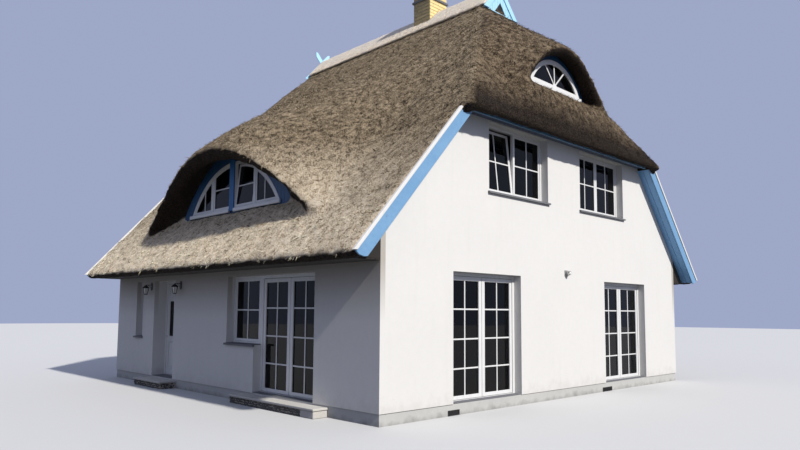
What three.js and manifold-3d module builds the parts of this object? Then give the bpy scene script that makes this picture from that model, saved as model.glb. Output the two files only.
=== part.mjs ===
// Thatched cottage with half-hipped ends, a broad dormer on each long slope and an arched hood on each hip.
// Millimetres, +Z up. The gable with the two glazed double doors faces -Y, the ridge runs along Y,
// and the origin is on the ground under the middle of the roof.
import * as THREE from 'three';
import { mergeVertices } from 'three/addons/utils/BufferGeometryUtils.js';
import Module from 'manifold-3d';

const wasm = await Module();
wasm.setup();

// Driving dimensions: walls and floors
const halfWidth = 5000;
const halfLength = 4790;
const wallThickness = 360;
const floorTop = 183;
const plinthInset = 15;
const upperFloorTop = 2860;
const atticFloorTop = 5300;
const floorThickness = 220;
const seat = 0.3;

// Driving dimensions: doors and windows
const frontDoor = { inner: 1520, outer: 3388, head: 2318 };
const upperWindow = { inner: 591, outer: 2437, sill: 3760, head: 5018 };
const longWallHead = 2296;
const groundSill = 1031;
const terraceDoor = { from: -3217, to: -1421 };
const terraceWindow = { from: -1421, to: -456 };
const entrance = { from: 1760, to: 2778 };
const entranceLight = { foot: 1050, head: 1860, stile: 90, width: 220 };
const hallWindow = { from: 3360, to: 3735 };
const sideWindow = { near: 1700, far: 2900 };
const revealDepth = 150;
const nicheDepth = 280;
const frameDepth = 70;
const frameWidth = 60;
const stileWidth = 70;
const glassDepth = 24;
const leafThickness = 60;
const leafGap = 6;
const barrelRadius = 8;
const tiltAngle = THREE.MathUtils.degToRad(6);

// Driving dimensions: roof
const ridgeHeight = 8920;
const pitch = Math.tan(THREE.MathUtils.degToRad(48.2));
const eaveReach = 5740;
const eaveCut = [[5700, 2370], [5530, 2400]];
const thatchDrop = 330;
const hipDrop = 370;
const hipEave = { reach: 5220, height: 5100 };
const hipCut = [[5200, 4930], [5040, 5020]];
const hipTop = 8270;
const gabletPlane = 3200;
const vergeEnd = 5040;

// Driving dimensions: the broad dormers on the long slopes
const dormer = {
  shift: 50, window: 4700, panel: 60, halfWidth: 2050, base: 3661, rise: 1290,
  glazing: { halfWidth: 1700, base: 3668, rise: 990, post: 85, mullion: 810 },
};
const brow = { halfWidth: 3530, foot: 5086, lean: 306, rise: 1930, end: 1000 };
const browMouthStations = [
  { reach: 4700.3, lean: 0, halfWidth: 2050, height: 1290 },
  { reach: 4900, lean: 300, halfWidth: 2780, height: 1450 },
  { reach: 5086, lean: 306, halfWidth: 3120, height: 1842 },
];

// Driving dimensions: the arched hoods on the hips
const hood = {
  window: 4590, panel: 60, halfWidth: 1250, base: 6100, rise: 870,
  glazing: { halfWidth: 940, base: 6200, rise: 620 },
};
const hoodBrow = { halfWidth: 1925, reach: 4950, rise: 1500, end: 3230, apron: 466 };
const hoodMouthStations = [
  { reach: 4590.3, halfWidth: 1250, floor: 6100, height: 870 },
  { reach: 4800, halfWidth: 1300, floor: 6050, height: 790 },
  { reach: 4950, halfWidth: 1430, floor: 5990, height: 975 },
];

// Driving dimensions: trim
const boardThickness = 30;
const chimney = { x: 305, y: -1080, halfDepth: 272, top: 9700, band: [9210, 9265], flueInset: [190, 160] };
const terraceStep = { from: -3600, to: -1050, reach: 295 };
const entranceStep = { from: 1600, to: 2940, reach: 365 };
const stepSlab = { base: 118, top: 155, nosing: 20 };
const lantern = { near: 1490, far: 2930, height: 2080, reach: 140 };
const wallLight = { x: 12, z: 2435, plate: 60, plateHeight: 55 };

const group = new THREE.Group();

const colours = {
  plaster: 0xe9e7e1, plinth: 0x9a9a97, concrete: 0xb9b6ae, thatch: 0x7d6c55, cap: 0xcdbda2,
  blue: 0x7fb0de, white: 0xf2f2ee, brick: 0xe2bd6b, stone: 0xc9c6bd, iron: 0x20242a, slate: 0x4b4f55,
};

// Turn a closed geometry into a solid that can be cut and joined.
function toSolid(geometry) {
  const plain = geometry.index ? geometry.toNonIndexed() : geometry.clone();
  plain.deleteAttribute('normal');
  plain.deleteAttribute('uv');
  const merged = mergeVertices(plain, 1e-3);
  const index = merged.index.array;
  const kept = [];
  for (let i = 0; i < index.length; i += 3) {
    const [a, b, c] = [index[i], index[i + 1], index[i + 2]];
    if (a !== b && b !== c && c !== a) kept.push(a, b, c);
  }
  const mesh = new wasm.Mesh({
    numProp: 3,
    vertProperties: new Float32Array(merged.attributes.position.array),
    triVerts: new Uint32Array(kept),
  });
  return new wasm.Manifold(mesh);
}

// Turn a solid back into a geometry.
function toGeometry(solid) {
  const mesh = solid.getMesh();
  const geometry = new THREE.BufferGeometry();
  geometry.setAttribute('position', new THREE.BufferAttribute(new Float32Array(mesh.vertProperties), 3));
  geometry.setIndex(new THREE.BufferAttribute(new Uint32Array(mesh.triVerts), 1));
  return geometry;
}

function join(...solids) {
  return solids.reduce((whole, solid) => whole.add(solid));
}

function cut(solid, ...tools) {
  return tools.reduce((whole, tool) => whole.subtract(tool), solid);
}

// An upright box between two corners.
function box(x0, x1, y0, y1, z0, z1) {
  const geometry = new THREE.BoxGeometry(x1 - x0, y1 - y0, z1 - z0);
  geometry.translate((x0 + x1) / 2, (y0 + y1) / 2, (z0 + z1) / 2);
  return toSolid(geometry);
}

function shapeOf(points) {
  const flat = points.map(([a, b]) => new THREE.Vector2(a, b));
  if (THREE.ShapeUtils.area(flat) < 0) flat.reverse();
  return new THREE.Shape(flat);
}

function extrude(points, depth) {
  return new THREE.ExtrudeGeometry(shapeOf(points), { depth, bevelEnabled: false, steps: 1 });
}

// An outline in X and Z, carried along Y from y0 to y1.
function alongY(points, y0, y1) {
  const geometry = extrude(points, y1 - y0);
  geometry.rotateX(Math.PI / 2);
  geometry.translate(0, y1, 0);
  return toSolid(geometry);
}

// An outline in Y and Z, carried along X from x0 to x1.
function alongX(points, x0, x1) {
  const geometry = extrude(points, x1 - x0);
  geometry.applyMatrix4(new THREE.Matrix4().set(0, 0, 1, x0, 1, 0, 0, 0, 0, 1, 0, 0, 0, 0, 0, 1));
  return toSolid(geometry);
}

// An outline in X and Y, carried up from z0 to z1.
function alongZ(points, z0, z1) {
  const geometry = extrude(points, z1 - z0);
  geometry.translate(0, 0, z0);
  return toSolid(geometry);
}

// A closed body between a lower and an upper sheet over the unit square, point(u, v, top) giving each vertex.
function between(point, across, along) {
  const row = along + 1;
  const sheet = (across + 1) * row;
  const positions = [];
  for (const top of [0, 1]) {
    for (let i = 0; i <= across; i += 1) {
      for (let j = 0; j <= along; j += 1) positions.push(...point(i / across, j / along, top));
    }
  }
  const faces = [];
  const quad = (a, b, c, d) => faces.push(a, b, c, a, c, d);
  for (let i = 0; i < across; i += 1) {
    for (let j = 0; j < along; j += 1) {
      const a = i * row + j;
      quad(a, a + 1, a + row + 1, a + row);
      quad(sheet + a, sheet + a + row, sheet + a + row + 1, sheet + a + 1);
    }
  }
  const wall = (a, b) => quad(b, a, a + sheet, b + sheet);
  for (let i = 0; i < across; i += 1) {
    wall((i + 1) * row, i * row);
    wall(i * row + along, (i + 1) * row + along);
  }
  for (let j = 0; j < along; j += 1) {
    wall(j, j + 1);
    wall(across * row + j + 1, across * row + j);
  }
  const geometry = new THREE.BufferGeometry();
  geometry.setAttribute('position', new THREE.Float32BufferAttribute(positions, 3));
  geometry.setIndex(faces);
  const centre = signedVolume(positions, faces);
  if (centre < 0) geometry.setIndex(faces.reverse());
  return toSolid(geometry);
}

function signedVolume(positions, faces) {
  const corner = (k) => new THREE.Vector3().fromArray(positions, 3 * k);
  let total = 0;
  for (let i = 0; i < faces.length; i += 3) {
    total += corner(faces[i]).dot(corner(faces[i + 1]).cross(corner(faces[i + 2])));
  }
  return total;
}

function arc(halfSpan, base, rise, steps) {
  const radius = (halfSpan ** 2 + rise ** 2) / (2 * rise);
  const reach = Math.asin(halfSpan / radius);
  const points = [];
  for (let i = 0; i <= steps; i += 1) {
    const angle = -reach + (2 * reach * i) / steps;
    points.push([radius * Math.sin(angle), base + rise - radius + radius * Math.cos(angle)]);
  }
  return points;
}

function arch(halfSpan, base, rise, steps) {
  const points = [];
  for (let i = 0; i <= steps; i += 1) {
    const s = -1 + (2 * i) / steps;
    points.push([halfSpan * s, base + rise * (1 - s * s)]);
  }
  return points;
}

const frontFace = 0;
const leftFace = -Math.PI / 2;
const backFace = Math.PI;
const rightFace = Math.PI / 2;

// Turn a solid about the vertical axis through the origin.
function turned(solid, angle) {
  return solid.rotate([0, 0, THREE.MathUtils.radToDeg(angle)]);
}

// A solid made for the front face, moved to its place on one of the four walls.
function placed(solid, face, along, depth) {
  const outer = face === frontFace || face === backFace ? halfLength : halfWidth;
  return turned(solid.translate([along, depth - outer, 0]), face);
}

function add(name, solid, colour, roughness = 0.85) {
  const material = new THREE.MeshStandardMaterial({ color: colours[colour], roughness, metalness: 0 });
  const mesh = new THREE.Mesh(toGeometry(solid), material);
  mesh.name = name;
  group.add(mesh);
}

// Heights of the main slopes, at a distance x from the ridge line.
const slopeTop = (x) => ridgeHeight - pitch * Math.abs(x);
const slopeUnder = (x) => slopeTop(x) - thatchDrop;
const slopeReach = (z, drop) => (ridgeHeight - drop - z) / pitch;

// Heights of the two hips, at a distance y from the middle of the house.
const hipPitch = (hipTop - hipEave.height) / (hipEave.reach - gabletPlane);
const hipHeight = (y) => hipEave.height + hipPitch * (hipEave.reach - Math.abs(y));
const hipUnder = (y) => hipHeight(y) - hipDrop;

// Foundation slab, whose edge shows as the plinth
function addFoundation() {
  const x = halfWidth - plinthInset;
  const y = halfLength - plinthInset;
  add('foundation_slab', box(-x, x, -y, y, 0, floorTop), 'plinth');
}

// The outline of a gable wall above a given height, under the thatch.
function gableOutline(base) {
  const top = hipUnder(halfLength) - seat;
  const shoulder = slopeUnder(halfWidth) - seat;
  const neck = slopeReach(top + seat, thatchDrop);
  return [[-halfWidth, base], [-halfWidth, shoulder], [-neck, top], [neck, top], [halfWidth, shoulder],
    [halfWidth, base]];
}

function upperWindowHoles(y0, y1) {
  const { inner, outer, sill, head } = upperWindow;
  return [box(-outer, -inner, y0, y1, sill, head), box(inner, outer, y0, y1, sill, head)];
}

function addFrontWall() {
  const [y0, y1] = [-halfLength, -halfLength + wallThickness];
  const { inner, outer, head } = frontDoor;
  add('front_wall_left', box(-halfWidth, -outer, y0, y1, floorTop, head), 'plaster');
  add('front_wall_middle', box(-inner, inner, y0, y1, floorTop, head), 'plaster');
  add('front_wall_right', box(outer, halfWidth, y0, y1, floorTop, head), 'plaster');
  const upper = cut(alongY(gableOutline(head), y0, y1), ...upperWindowHoles(y0 - 1, y1 + 1));
  add('front_wall_upper', upper, 'plaster');
}

function addBackWall() {
  const [y0, y1] = [halfLength - wallThickness, halfLength];
  const { inner, outer, head } = frontDoor;
  const holes = [
    box(-outer, -inner, y0 - 1, y1 + 1, groundSill, head),
    box(inner, outer, y0 - 1, y1 + 1, groundSill, head),
    ...upperWindowHoles(y0 - 1, y1 + 1),
  ];
  add('back_wall', cut(alongY(gableOutline(floorTop), y0, y1), ...holes), 'plaster');
}

// The outline of a long wall in section, its top cut to the thatch.
function longWallSection(base) {
  const inner = halfWidth - wallThickness;
  return [[-halfWidth, base], [-halfWidth, slopeUnder(halfWidth) - seat], [-inner, slopeUnder(inner) - seat],
    [-inner, base]];
}

function addLeftWall() {
  const [x0, x1] = [-halfWidth, -halfWidth + wallThickness];
  const end = halfLength - wallThickness;
  add('left_wall_front', box(x0, x1, -end, terraceDoor.from, floorTop, longWallHead), 'plaster');
  const middle = [[terraceWindow.from, floorTop], [terraceWindow.from, groundSill],
    [terraceWindow.to, groundSill], [terraceWindow.to, longWallHead], [entrance.from, longWallHead],
    [entrance.from, floorTop]];
  add('left_wall_middle', alongX(middle, x0, x1), 'plaster');
  const back = [[entrance.to, floorTop], [entrance.to, longWallHead], [hallWindow.from, longWallHead],
    [hallWindow.from, groundSill], [hallWindow.to, groundSill], [hallWindow.to, longWallHead],
    [end, longWallHead], [end, floorTop]];
  add('left_wall_back', alongX(back, x0, x1), 'plaster');
  add('left_wall_upper', alongY(longWallSection(longWallHead), -end, end), 'plaster');
}

function addRightWall() {
  const end = halfLength - wallThickness;
  const whole = turned(alongY(longWallSection(floorTop), -end, end), backFace);
  const [x0, x1] = [halfWidth - wallThickness - 1, halfWidth + 1];
  const { near, far } = sideWindow;
  const holes = [
    box(x0, x1, -far, -near, groundSill, longWallHead),
    box(x0, x1, near, far, groundSill, longWallHead),
  ];
  add('right_wall', cut(whole, ...holes), 'plaster');
}

function chimneyShaft(clearance, z0, z1) {
  const { x, y, halfDepth } = chimney;
  return box(-x - clearance, x + clearance, y - halfDepth - clearance, y + halfDepth + clearance, z0, z1);
}

function addFloors() {
  const x = halfWidth - wallThickness - seat;
  const y = halfLength - wallThickness - seat;
  const upper = box(-x, x, -y, y, upperFloorTop - floorThickness, upperFloorTop);
  add('upper_floor', cut(upper, chimneyShaft(seat, 0, atticFloorTop)), 'concrete');
  const low = atticFloorTop - floorThickness;
  const [wide, narrow] = [slopeReach(low + seat, thatchDrop) - seat, slopeReach(atticFloorTop + seat, thatchDrop) - seat];
  const attic = alongY([[-wide, low], [wide, low], [narrow, atticFloorTop], [-narrow, atticFloorTop]], -y, y);
  add('attic_floor', cut(attic, chimneyShaft(seat, 0, 2 * atticFloorTop)), 'concrete');
}

// How far the dormer's thatch stands above the long slope: a bell across, easing out up the roof.
function browHeight(x, y) {
  const s = Math.min(Math.abs(y / brow.halfWidth), 1);
  const t = THREE.MathUtils.clamp((Math.abs(x) - brow.end) / (brow.foot + brow.lean - brow.end), 0, 1);
  const easing = 0.6 * t + 0.4 * t * t * (3 - 2 * t);
  return brow.rise * easing * (1 - s * s) ** 1.4;
}

// How far the hood's thatch stands above the hip.
function hoodHeight(x, y) {
  const s = Math.min(Math.abs(x / hoodBrow.halfWidth), 1);
  const t = Math.max(Math.abs(y) - hoodBrow.end, 0) / (hoodBrow.reach - hoodBrow.end);
  return hoodBrow.rise * t * (1 - s * s) ** 1.2;
}

// How deep the swellings reach into the slope under them, and how far their surfaces stay below its neighbour's.
const skin = 60;
const blend = 1;

// The swelling of thatch over a dormer, made for the left slope about its own middle.
function browBody() {
  const point = (u, v, top) => {
    const y = (2 * u - 1) * brow.halfWidth;
    const front = brow.foot + brow.lean * (1 - (y / brow.halfWidth) ** 2) ** 1.4;
    const x = -(front + (brow.end - front) * v);
    return [x, y, top ? slopeTop(x) + browHeight(x, y) - blend : slopeTop(x) - skin];
  };
  return between(point, 28, 9);
}

// The place along a row of stations, with the last stretch carried on past the end of the row.
function alongStations(stations, v, beyond, placeAt) {
  const last = stations.length - 1;
  const at = v * (last + 1);
  const k = Math.min(Math.floor(at), last - 1);
  const share = at > last ? 1 + (at - last) * beyond : at - k;
  const [near, far] = [placeAt(stations[k]), placeAt(stations[k + 1])];
  return near.map((value, axis) => value + (far[axis] - value) * share);
}

// The open mouth under the dormer's brow, widening from the window to the thatch's outer edge and past it,
// and the opening behind the window.
function browMouth() {
  const point = (u, v, top) => alongStations(browMouthStations, v, 1.2, (station) => {
    const s = 2 * u - 1;
    const bow = Math.max(1 - s * s, 0.002);
    const x = -(station.reach + station.lean * bow);
    return [x, station.halfWidth * s, slopeTop(x) - blend + (top ? station.height * bow + blend : 0)];
  });
  const [back, foot] = [-3000, 3000];
  const room = [[-dormer.halfWidth, foot], ...arch(dormer.halfWidth, dormer.base, dormer.rise, 20),
    [dormer.halfWidth, foot]];
  return join(between(point, 24, 3), alongX(room, -(dormer.window + seat), back));
}

// The swelling of thatch over a hood, and its rounded apron below the window, made for the front hip.
function hoodBody() {
  const place = (u, y) => [(2 * u - 1) * hoodBrow.halfWidth, -y];
  const hoodPoint = (u, v, top) => {
    const [x, y] = place(u, hoodBrow.reach + (hoodBrow.end - hoodBrow.reach) * v);
    return [x, y, top ? hipHeight(y) + hoodHeight(x, y) - blend : hipHeight(y) - skin];
  };
  const apronPoint = (u, v, top) => {
    const [x, y] = place(u, hipEave.reach + (hoodBrow.reach - hipEave.reach) * v);
    const height = Math.min(hoodHeight(x, hoodBrow.reach), hoodBrow.apron) * (1 - (1 - v) ** 2);
    return [x, y, top ? hipHeight(y) + height - blend : hipHeight(y) - skin];
  };
  return join(between(hoodPoint, 24, 5), between(apronPoint, 24, 5));
}

// The open mouth under a hood's brow and the opening behind its window.
function hoodMouth() {
  const point = (u, v, top) => alongStations(hoodMouthStations, v, 1.5, (station) => {
    const s = 2 * u - 1;
    const bow = Math.max(1 - s * s, 0.002);
    return [station.halfWidth * s, -station.reach, station.floor + (top ? station.height * bow : 0)];
  });
  const [back, foot] = [-3500, 5380];
  const room = [[-hood.halfWidth, foot], ...arch(hood.halfWidth, hood.base, hood.rise, 16),
    [hood.halfWidth, foot]];
  return join(between(point, 20, 3), alongY(room, -(hood.window + seat), back));
}

// The outline of the roof seen from the side: a ridge that drops at the gablets, then the hips down to their eaves.
function hipProfile() {
  const high = ridgeHeight + 500;
  const low = 2000;
  const half = [[gabletPlane, high], [gabletPlane, hipTop], [hipEave.reach, hipEave.height], ...hipCut, [vergeEnd, low]];
  return [...half, ...half.map(([y, z]) => [-y, z]).reverse()];
}

// The outline of the roof space seen from the side.
function hipHollow() {
  const [low, span] = [2000, 5300];
  const high = ridgeHeight + 500;
  const top = hipEave.reach - (high + hipDrop - hipEave.height) / hipPitch;
  return [[-top, high], [top, high], [span, hipUnder(span)], [span, low], [-span, low], [-span, hipUnder(span)]];
}

// The whole thatch as one body: outer form, less the roof space, less the mouths of dormers and hoods.
function thatchWhole() {
  const span = 6000;
  const low = 2000;
  const mirrored = (points) => [...points, ...points.slice(1).map(([x, z]) => [-x, z]).reverse()];
  const outline = mirrored([[0, ridgeHeight], [eaveReach, slopeTop(eaveReach)], ...eaveCut]);
  const hollow = mirrored([[0, slopeUnder(0)], [slopeReach(low, thatchDrop), low]]);
  const shift = [0, -dormer.shift, 0];
  const slopes = join(
    alongY(outline, -span, span),
    browBody().translate(shift),
    turned(browBody(), backFace).translate(shift),
  );
  const ends = join(alongX(hipProfile(), -span, span), hoodBody(), turned(hoodBody(), backFace));
  return cut(
    slopes.intersect(ends),
    alongY(hollow, -span, span).intersect(alongX(hipHollow(), -span, span)),
    browMouth().translate(shift),
    turned(browMouth(), backFace).translate(shift),
    hoodMouth(),
    turned(hoodMouth(), backFace),
    chimneyShaft(seat, 0, 2 * ridgeHeight),
    eaveCornerTrim(),
    turned(eaveCornerTrim(), backFace),
  );
}

// What is trimmed off the eaves' lower edge at the front verge, so that the verge boards cover the thatch's end.
function eaveCornerTrim() {
  const outline = [[-4860, 2300], [-5100, 2300], [-5100, 2520]];
  return join(alongX(outline, -6000, -5300), alongX(outline, 5300, 6000));
}

// The wedge, seen from above, in which a hip lies below its gablet. A step back from its edges widens the joint.
function hipWedge(step) {
  const far = 6000;
  const tip = hipEave.reach - (ridgeHeight - hipEave.height) / hipPitch;
  const reachAt = (y) => (y - tip - step) * (hipPitch / pitch);
  const near = gabletPlane + step;
  return alongZ([[-reachAt(near), -near], [reachAt(near), -near], [reachAt(far), -far], [-reachAt(far), -far]],
    0, 2 * ridgeHeight);
}

function addThatch() {
  const whole = thatchWhole();
  const half = seat / 2;
  const span = 6000;
  const [grown, shrunk] = [hipWedge(-half), hipWedge(half)];
  const rest = cut(whole, grown, turned(grown, backFace));
  const halfBox = box(-span, -half, -span, span, 0, 2 * ridgeHeight);
  add('thatch_left', rest.intersect(halfBox), 'thatch', 0.95);
  add('thatch_right', rest.intersect(turned(halfBox, backFace)), 'thatch', 0.95);
  add('thatch_front', whole.intersect(shrunk), 'thatch', 0.95);
  add('thatch_back', whole.intersect(turned(shrunk, backFace)), 'thatch', 0.95);
}

function addRidgeCap() {
  const [under, thickness, reach] = [seat, 90, 520];
  const outline = [[0, ridgeHeight + under], [reach, slopeTop(reach) + under],
    [reach + 40, slopeTop(reach) + thickness / 2], [reach - 10, slopeTop(reach) + thickness],
    [120, slopeTop(120) + thickness], [0, ridgeHeight + thickness - 50]];
  const mirrored = [...outline, ...outline.slice(1, -1).map(([x, z]) => [-x, z]).reverse()];
  const cap = alongY(mirrored, -gabletPlane, gabletPlane);
  add('ridge_cap', cut(cap, chimneyShaft(seat, 0, 2 * ridgeHeight)), 'cap', 0.95);
}

function addChimney() {
  const { x, y, halfDepth, top } = chimney;
  const course = (grow, z0, z1) => chimneyShaft(grow, z0, z1);
  const [insetX, insetY] = chimney.flueInset;
  const flue = box(-x + insetX, x - insetX, y - halfDepth + insetY, y + halfDepth - insetY, top - 600, top + 200);
  const stack = join(course(0, floorTop, top), course(28, ...chimney.band), course(40, top - 150, top),
    course(70, top, top + 60));
  add('chimney_stack', cut(stack, flue), 'brick');
}

// A band that follows a main slope between two vertical offsets from the thatch's top, cut level at its ends.
function slopeBand(low, high, bottom, top) {
  return [[slopeReach(bottom, -low), bottom], [slopeReach(bottom, -high), bottom],
    [slopeReach(top, -high), top], [slopeReach(top, -low), top]];
}

function bargeboard() {
  const liningFoot = 2430.3;
  const top = 4985;
  const [under, stripFoot, faceTop, stripTop] = [-363, -60, -50, 16];
  const inner = halfLength + seat;
  const face = vergeEnd + seat;
  const foot = [[slopeReach(2412, -under), 2412], [5560, 2406], [5650, 2428], [slopeReach(2480, -faceTop), 2480]];
  const head = [[slopeReach(top, -faceTop), top], [slopeReach(top, -under), top]];
  return join(
    alongY(slopeBand(under, -thatchDrop - seat, liningFoot, top), -face - boardThickness, -inner),
    alongY([...foot, ...head], -face - boardThickness, -face),
    alongY(slopeBand(stripFoot, stripTop, 2490, top), -face - boardThickness - 20, -face),
  );
}

function addBargeboards() {
  const right = bargeboard();
  const left = right.mirror([1, 0, 0]);
  add('bargeboard_front_left', left, 'blue', 0.5);
  add('bargeboard_front_right', right, 'blue', 0.5);
  add('bargeboard_back_right', turned(left, backFace), 'blue', 0.5);
  add('bargeboard_back_left', turned(right, backFace), 'blue', 0.5);
}

function addHipEaveBoards() {
  const reach = 3150;
  const outline = [[-(halfLength + seat), 5035], [-4985, 5035], [-4985, 5000], [-5008, 5000], [-5008, 5058],
    [-(halfLength + seat), 5058]];
  const board = alongX(outline, -reach, reach);
  add('hip_eave_board_front', board, 'blue', 0.5);
  add('hip_eave_board_back', turned(board, backFace), 'blue', 0.5);
}

function addEaveSoffits() {
  const board = box(-5508, -halfWidth - seat, -halfLength, halfLength, 2400, 2425);
  add('eave_soffit_left', board, 'blue', 0.5);
  add('eave_soffit_right', turned(board, backFace), 'blue', 0.5);
}

// The small gable at a ridge end: boarded, with a three-cornered hole and two boards crossing over the ridge.
function gablet() {
  const plane = -(gabletPlane + seat);
  const foot = hipTop + 10;
  const panelReach = slopeReach(foot, 0);
  const panel = alongY([[-panelReach, foot], [panelReach, foot], [0, ridgeHeight]], plane - 25, plane);
  const hole = alongY([[-210, foot + 20], [210, foot + 20], [0, foot + 270]], plane - 26, plane + 1);
  const horn = -230;
  const [under, over] = [-130, 60];
  const line = (x, offset) => ridgeHeight - pitch * x + offset;
  const band = [[slopeReach(foot, -over), foot], [slopeReach(foot, -under), foot],
    [horn, line(horn, under)], [horn + 60, line(horn + 60, over)]];
  const board = (near, far) => alongY(band, plane - far, plane - near);
  return join(cut(panel, hole), board(0, 45), board(20, 65).mirror([1, 0, 0]));
}

function addGablets() {
  add('gablet_front', gablet(), 'blue', 0.5);
  add('gablet_back', turned(gablet(), backFace), 'blue', 0.5);
}

// A window unit for the front face, centred on x = 0: frame, one pane field each side of the middle post.
function windowUnit(width, sill, head, fields, tilted = false) {
  const half = width / 2 - seat;
  const [low, high] = [sill + seat, head - seat];
  const border = frameWidth + stileWidth / 2;
  const post = 58;
  const unit = box(-half, half, 0, frameDepth, low, high);
  const pockets = [];
  const edges = fields === 2 ? [[-half + border, -post], [post, half - border]] : [[-half + border, half - border]];
  edges.forEach(([x0, x1], k) => {
    const open = tilted && k === 0;
    const [front, back] = [(frameDepth - glassDepth) / 2, (frameDepth + glassDepth) / 2];
    pockets.push(box(x0, x1, -1, open ? frameDepth + 1 : front, low + border, high - border));
    if (!open) pockets.push(box(x0, x1, back, frameDepth + 1, low + border, high - border));
  });
  const body = cut(unit, ...pockets);
  if (!tilted) return body;
  return join(body, tiltedSash(edges[0][0] + 1, edges[0][1] - 1, low + border - 20, high - border));
}

// A sash leaning in at the top, its foot held by the frame.
function tiltedSash(x0, x1, low, high) {
  const rim = 55;
  const [front, back] = [-20, 20];
  const sash = box(x0, x1, front, back, 0, high - low);
  const field = (y0, y1) => box(x0 + rim, x1 - rim, y0, y1, rim + 20, high - low - rim);
  const whole = cut(sash, field(front - 1, -8), field(8, back + 1));
  return whole.rotate([-THREE.MathUtils.radToDeg(tiltAngle), 0, 0]).translate([0, frameDepth / 2 + 8, low]);
}

function addWindow(name, solid, face, along) {
  add(name, placed(solid, face, along, revealDepth), 'white', 0.35);
}

function addWindows() {
  const upperWidth = upperWindow.outer - upperWindow.inner;
  const upperMiddle = (upperWindow.outer + upperWindow.inner) / 2;
  const upper = (tilted) => windowUnit(upperWidth, upperWindow.sill, upperWindow.head, 2, tilted);
  addWindow('front_window_left', upper(true), frontFace, -upperMiddle);
  addWindow('front_window_right', upper(false), frontFace, upperMiddle);
  addWindow('back_window_upper_left', upper(false), backFace, upperMiddle);
  addWindow('back_window_upper_right', upper(false), backFace, -upperMiddle);
  const lowerWidth = frontDoor.outer - frontDoor.inner;
  const lowerMiddle = (frontDoor.outer + frontDoor.inner) / 2;
  const lower = windowUnit(lowerWidth, groundSill, frontDoor.head, 2);
  addWindow('back_window_lower_left', lower, backFace, lowerMiddle);
  addWindow('back_window_lower_right', lower, backFace, -lowerMiddle);
  const hall = windowUnit(hallWindow.to - hallWindow.from, groundSill, longWallHead, 1);
  addWindow('hall_window', hall, leftFace, -(hallWindow.from + hallWindow.to) / 2);
  const side = windowUnit(sideWindow.far - sideWindow.near, groundSill, longWallHead, 2);
  const sideMiddle = (sideWindow.near + sideWindow.far) / 2;
  addWindow('right_window_front', side, rightFace, -sideMiddle);
  addWindow('right_window_back', side, rightFace, sideMiddle);
}

// The boarded front of a broad dormer and the arched window unit in it, made for the left slope.
function dormerPanel() {
  const { window, panel, halfWidth: reach, base, rise } = dormer;
  const foot = slopeUnder(halfWidth - wallThickness) + seat;
  const outline = [[-reach + seat, foot], ...arch(reach - seat, base - seat, rise - seat, 20), [reach - seat, foot]];
  const hole = arc(dormer.glazing.halfWidth, dormer.glazing.base, dormer.glazing.rise, 20);
  return cut(alongX(outline, -window, -window + panel), alongX(hole, -window - 1, -window + panel + 1));
}

function dormerGlazing() {
  const { halfWidth: span, base, rise, post, mullion } = dormer.glazing;
  const front = -dormer.window - 25;
  const whole = alongX(arc(span - seat, base + seat, rise - 2 * seat, 20), front, front + frameDepth);
  const field = (depth0, depth1) => alongX(arc(span - 190, base + 95, rise - 180, 20), depth0, depth1);
  const strip = (y0, y1) => box(front - 2, front + frameDepth + 2, y0, y1, base, base + rise);
  const bars = [strip(-post - 60, post + 60), strip(mullion - 40, mullion + 40), strip(-mullion - 40, -mullion + 40)];
  const pane = (frameDepth - glassDepth) / 2;
  const pockets = join(field(front - 1, front + pane), field(front + frameDepth - pane, front + frameDepth + 1));
  return cut(whole, cut(pockets, ...bars));
}

function addDormers() {
  const shift = [0, -dormer.shift, 0];
  const panel = dormerPanel();
  const glazing = dormerGlazing();
  add('dormer_panel_left', panel.translate(shift), 'blue', 0.5);
  add('dormer_panel_right', turned(panel, backFace).translate(shift), 'blue', 0.5);
  add('dormer_window_left', glazing.translate(shift), 'white', 0.35);
  add('dormer_window_right', turned(glazing, backFace).translate(shift), 'white', 0.35);
}

// The boarded panel under a hood with its half-round window, made for the front hip.
function hipWindow() {
  const { window, panel, halfWidth: reach, base, rise, glazing } = hood;
  const foot = hipUnder(halfLength) + seat;
  const outline = [[-reach + seat, foot], ...arch(reach - seat, base - seat, rise - seat, 16), [reach - seat, foot]];
  const board = alongY(outline, -window, -window + panel);
  const frame = alongY(arc(glazing.halfWidth, glazing.base, glazing.rise, 20), -window - 25, -window + panel);
  const field = arc(glazing.halfWidth - 170, glazing.base + 90, glazing.rise - 170, 20);
  const pockets = [alongY(field, -window - 26, -window), alongY(field, -window + 24, -window + panel + 1)];
  return cut(join(board, frame), ...pockets);
}

function addHipWindows() {
  add('hip_window_front', hipWindow(), 'white', 0.4);
  add('hip_window_back', turned(hipWindow(), backFace), 'white', 0.4);
}

// A door frame for the front face, centred on x = 0: jambs, head and a low threshold.
function doorFrame(width, head, pins) {
  const half = width / 2 - seat;
  const outer = box(-half, half, 0, frameDepth, floorTop, head - seat);
  const opening = box(-half + frameWidth, half - frameWidth, -1, frameDepth + 1, floorTop + 22, head - frameWidth);
  const threshold = box(-half, half, -revealDepth + 10, 1, floorTop, floorTop + 12);
  return join(cut(outer, opening), threshold, ...pins);
}

const hingeHeights = [480, 1960];
const knuckle = 45;
const leafEdge = (width) => width / 2 - seat - frameWidth - leafGap;
const hingeLine = (width) => leafEdge(width) + leafGap / 2;
const hingeDepth = frameDepth + barrelRadius + 1;

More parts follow.
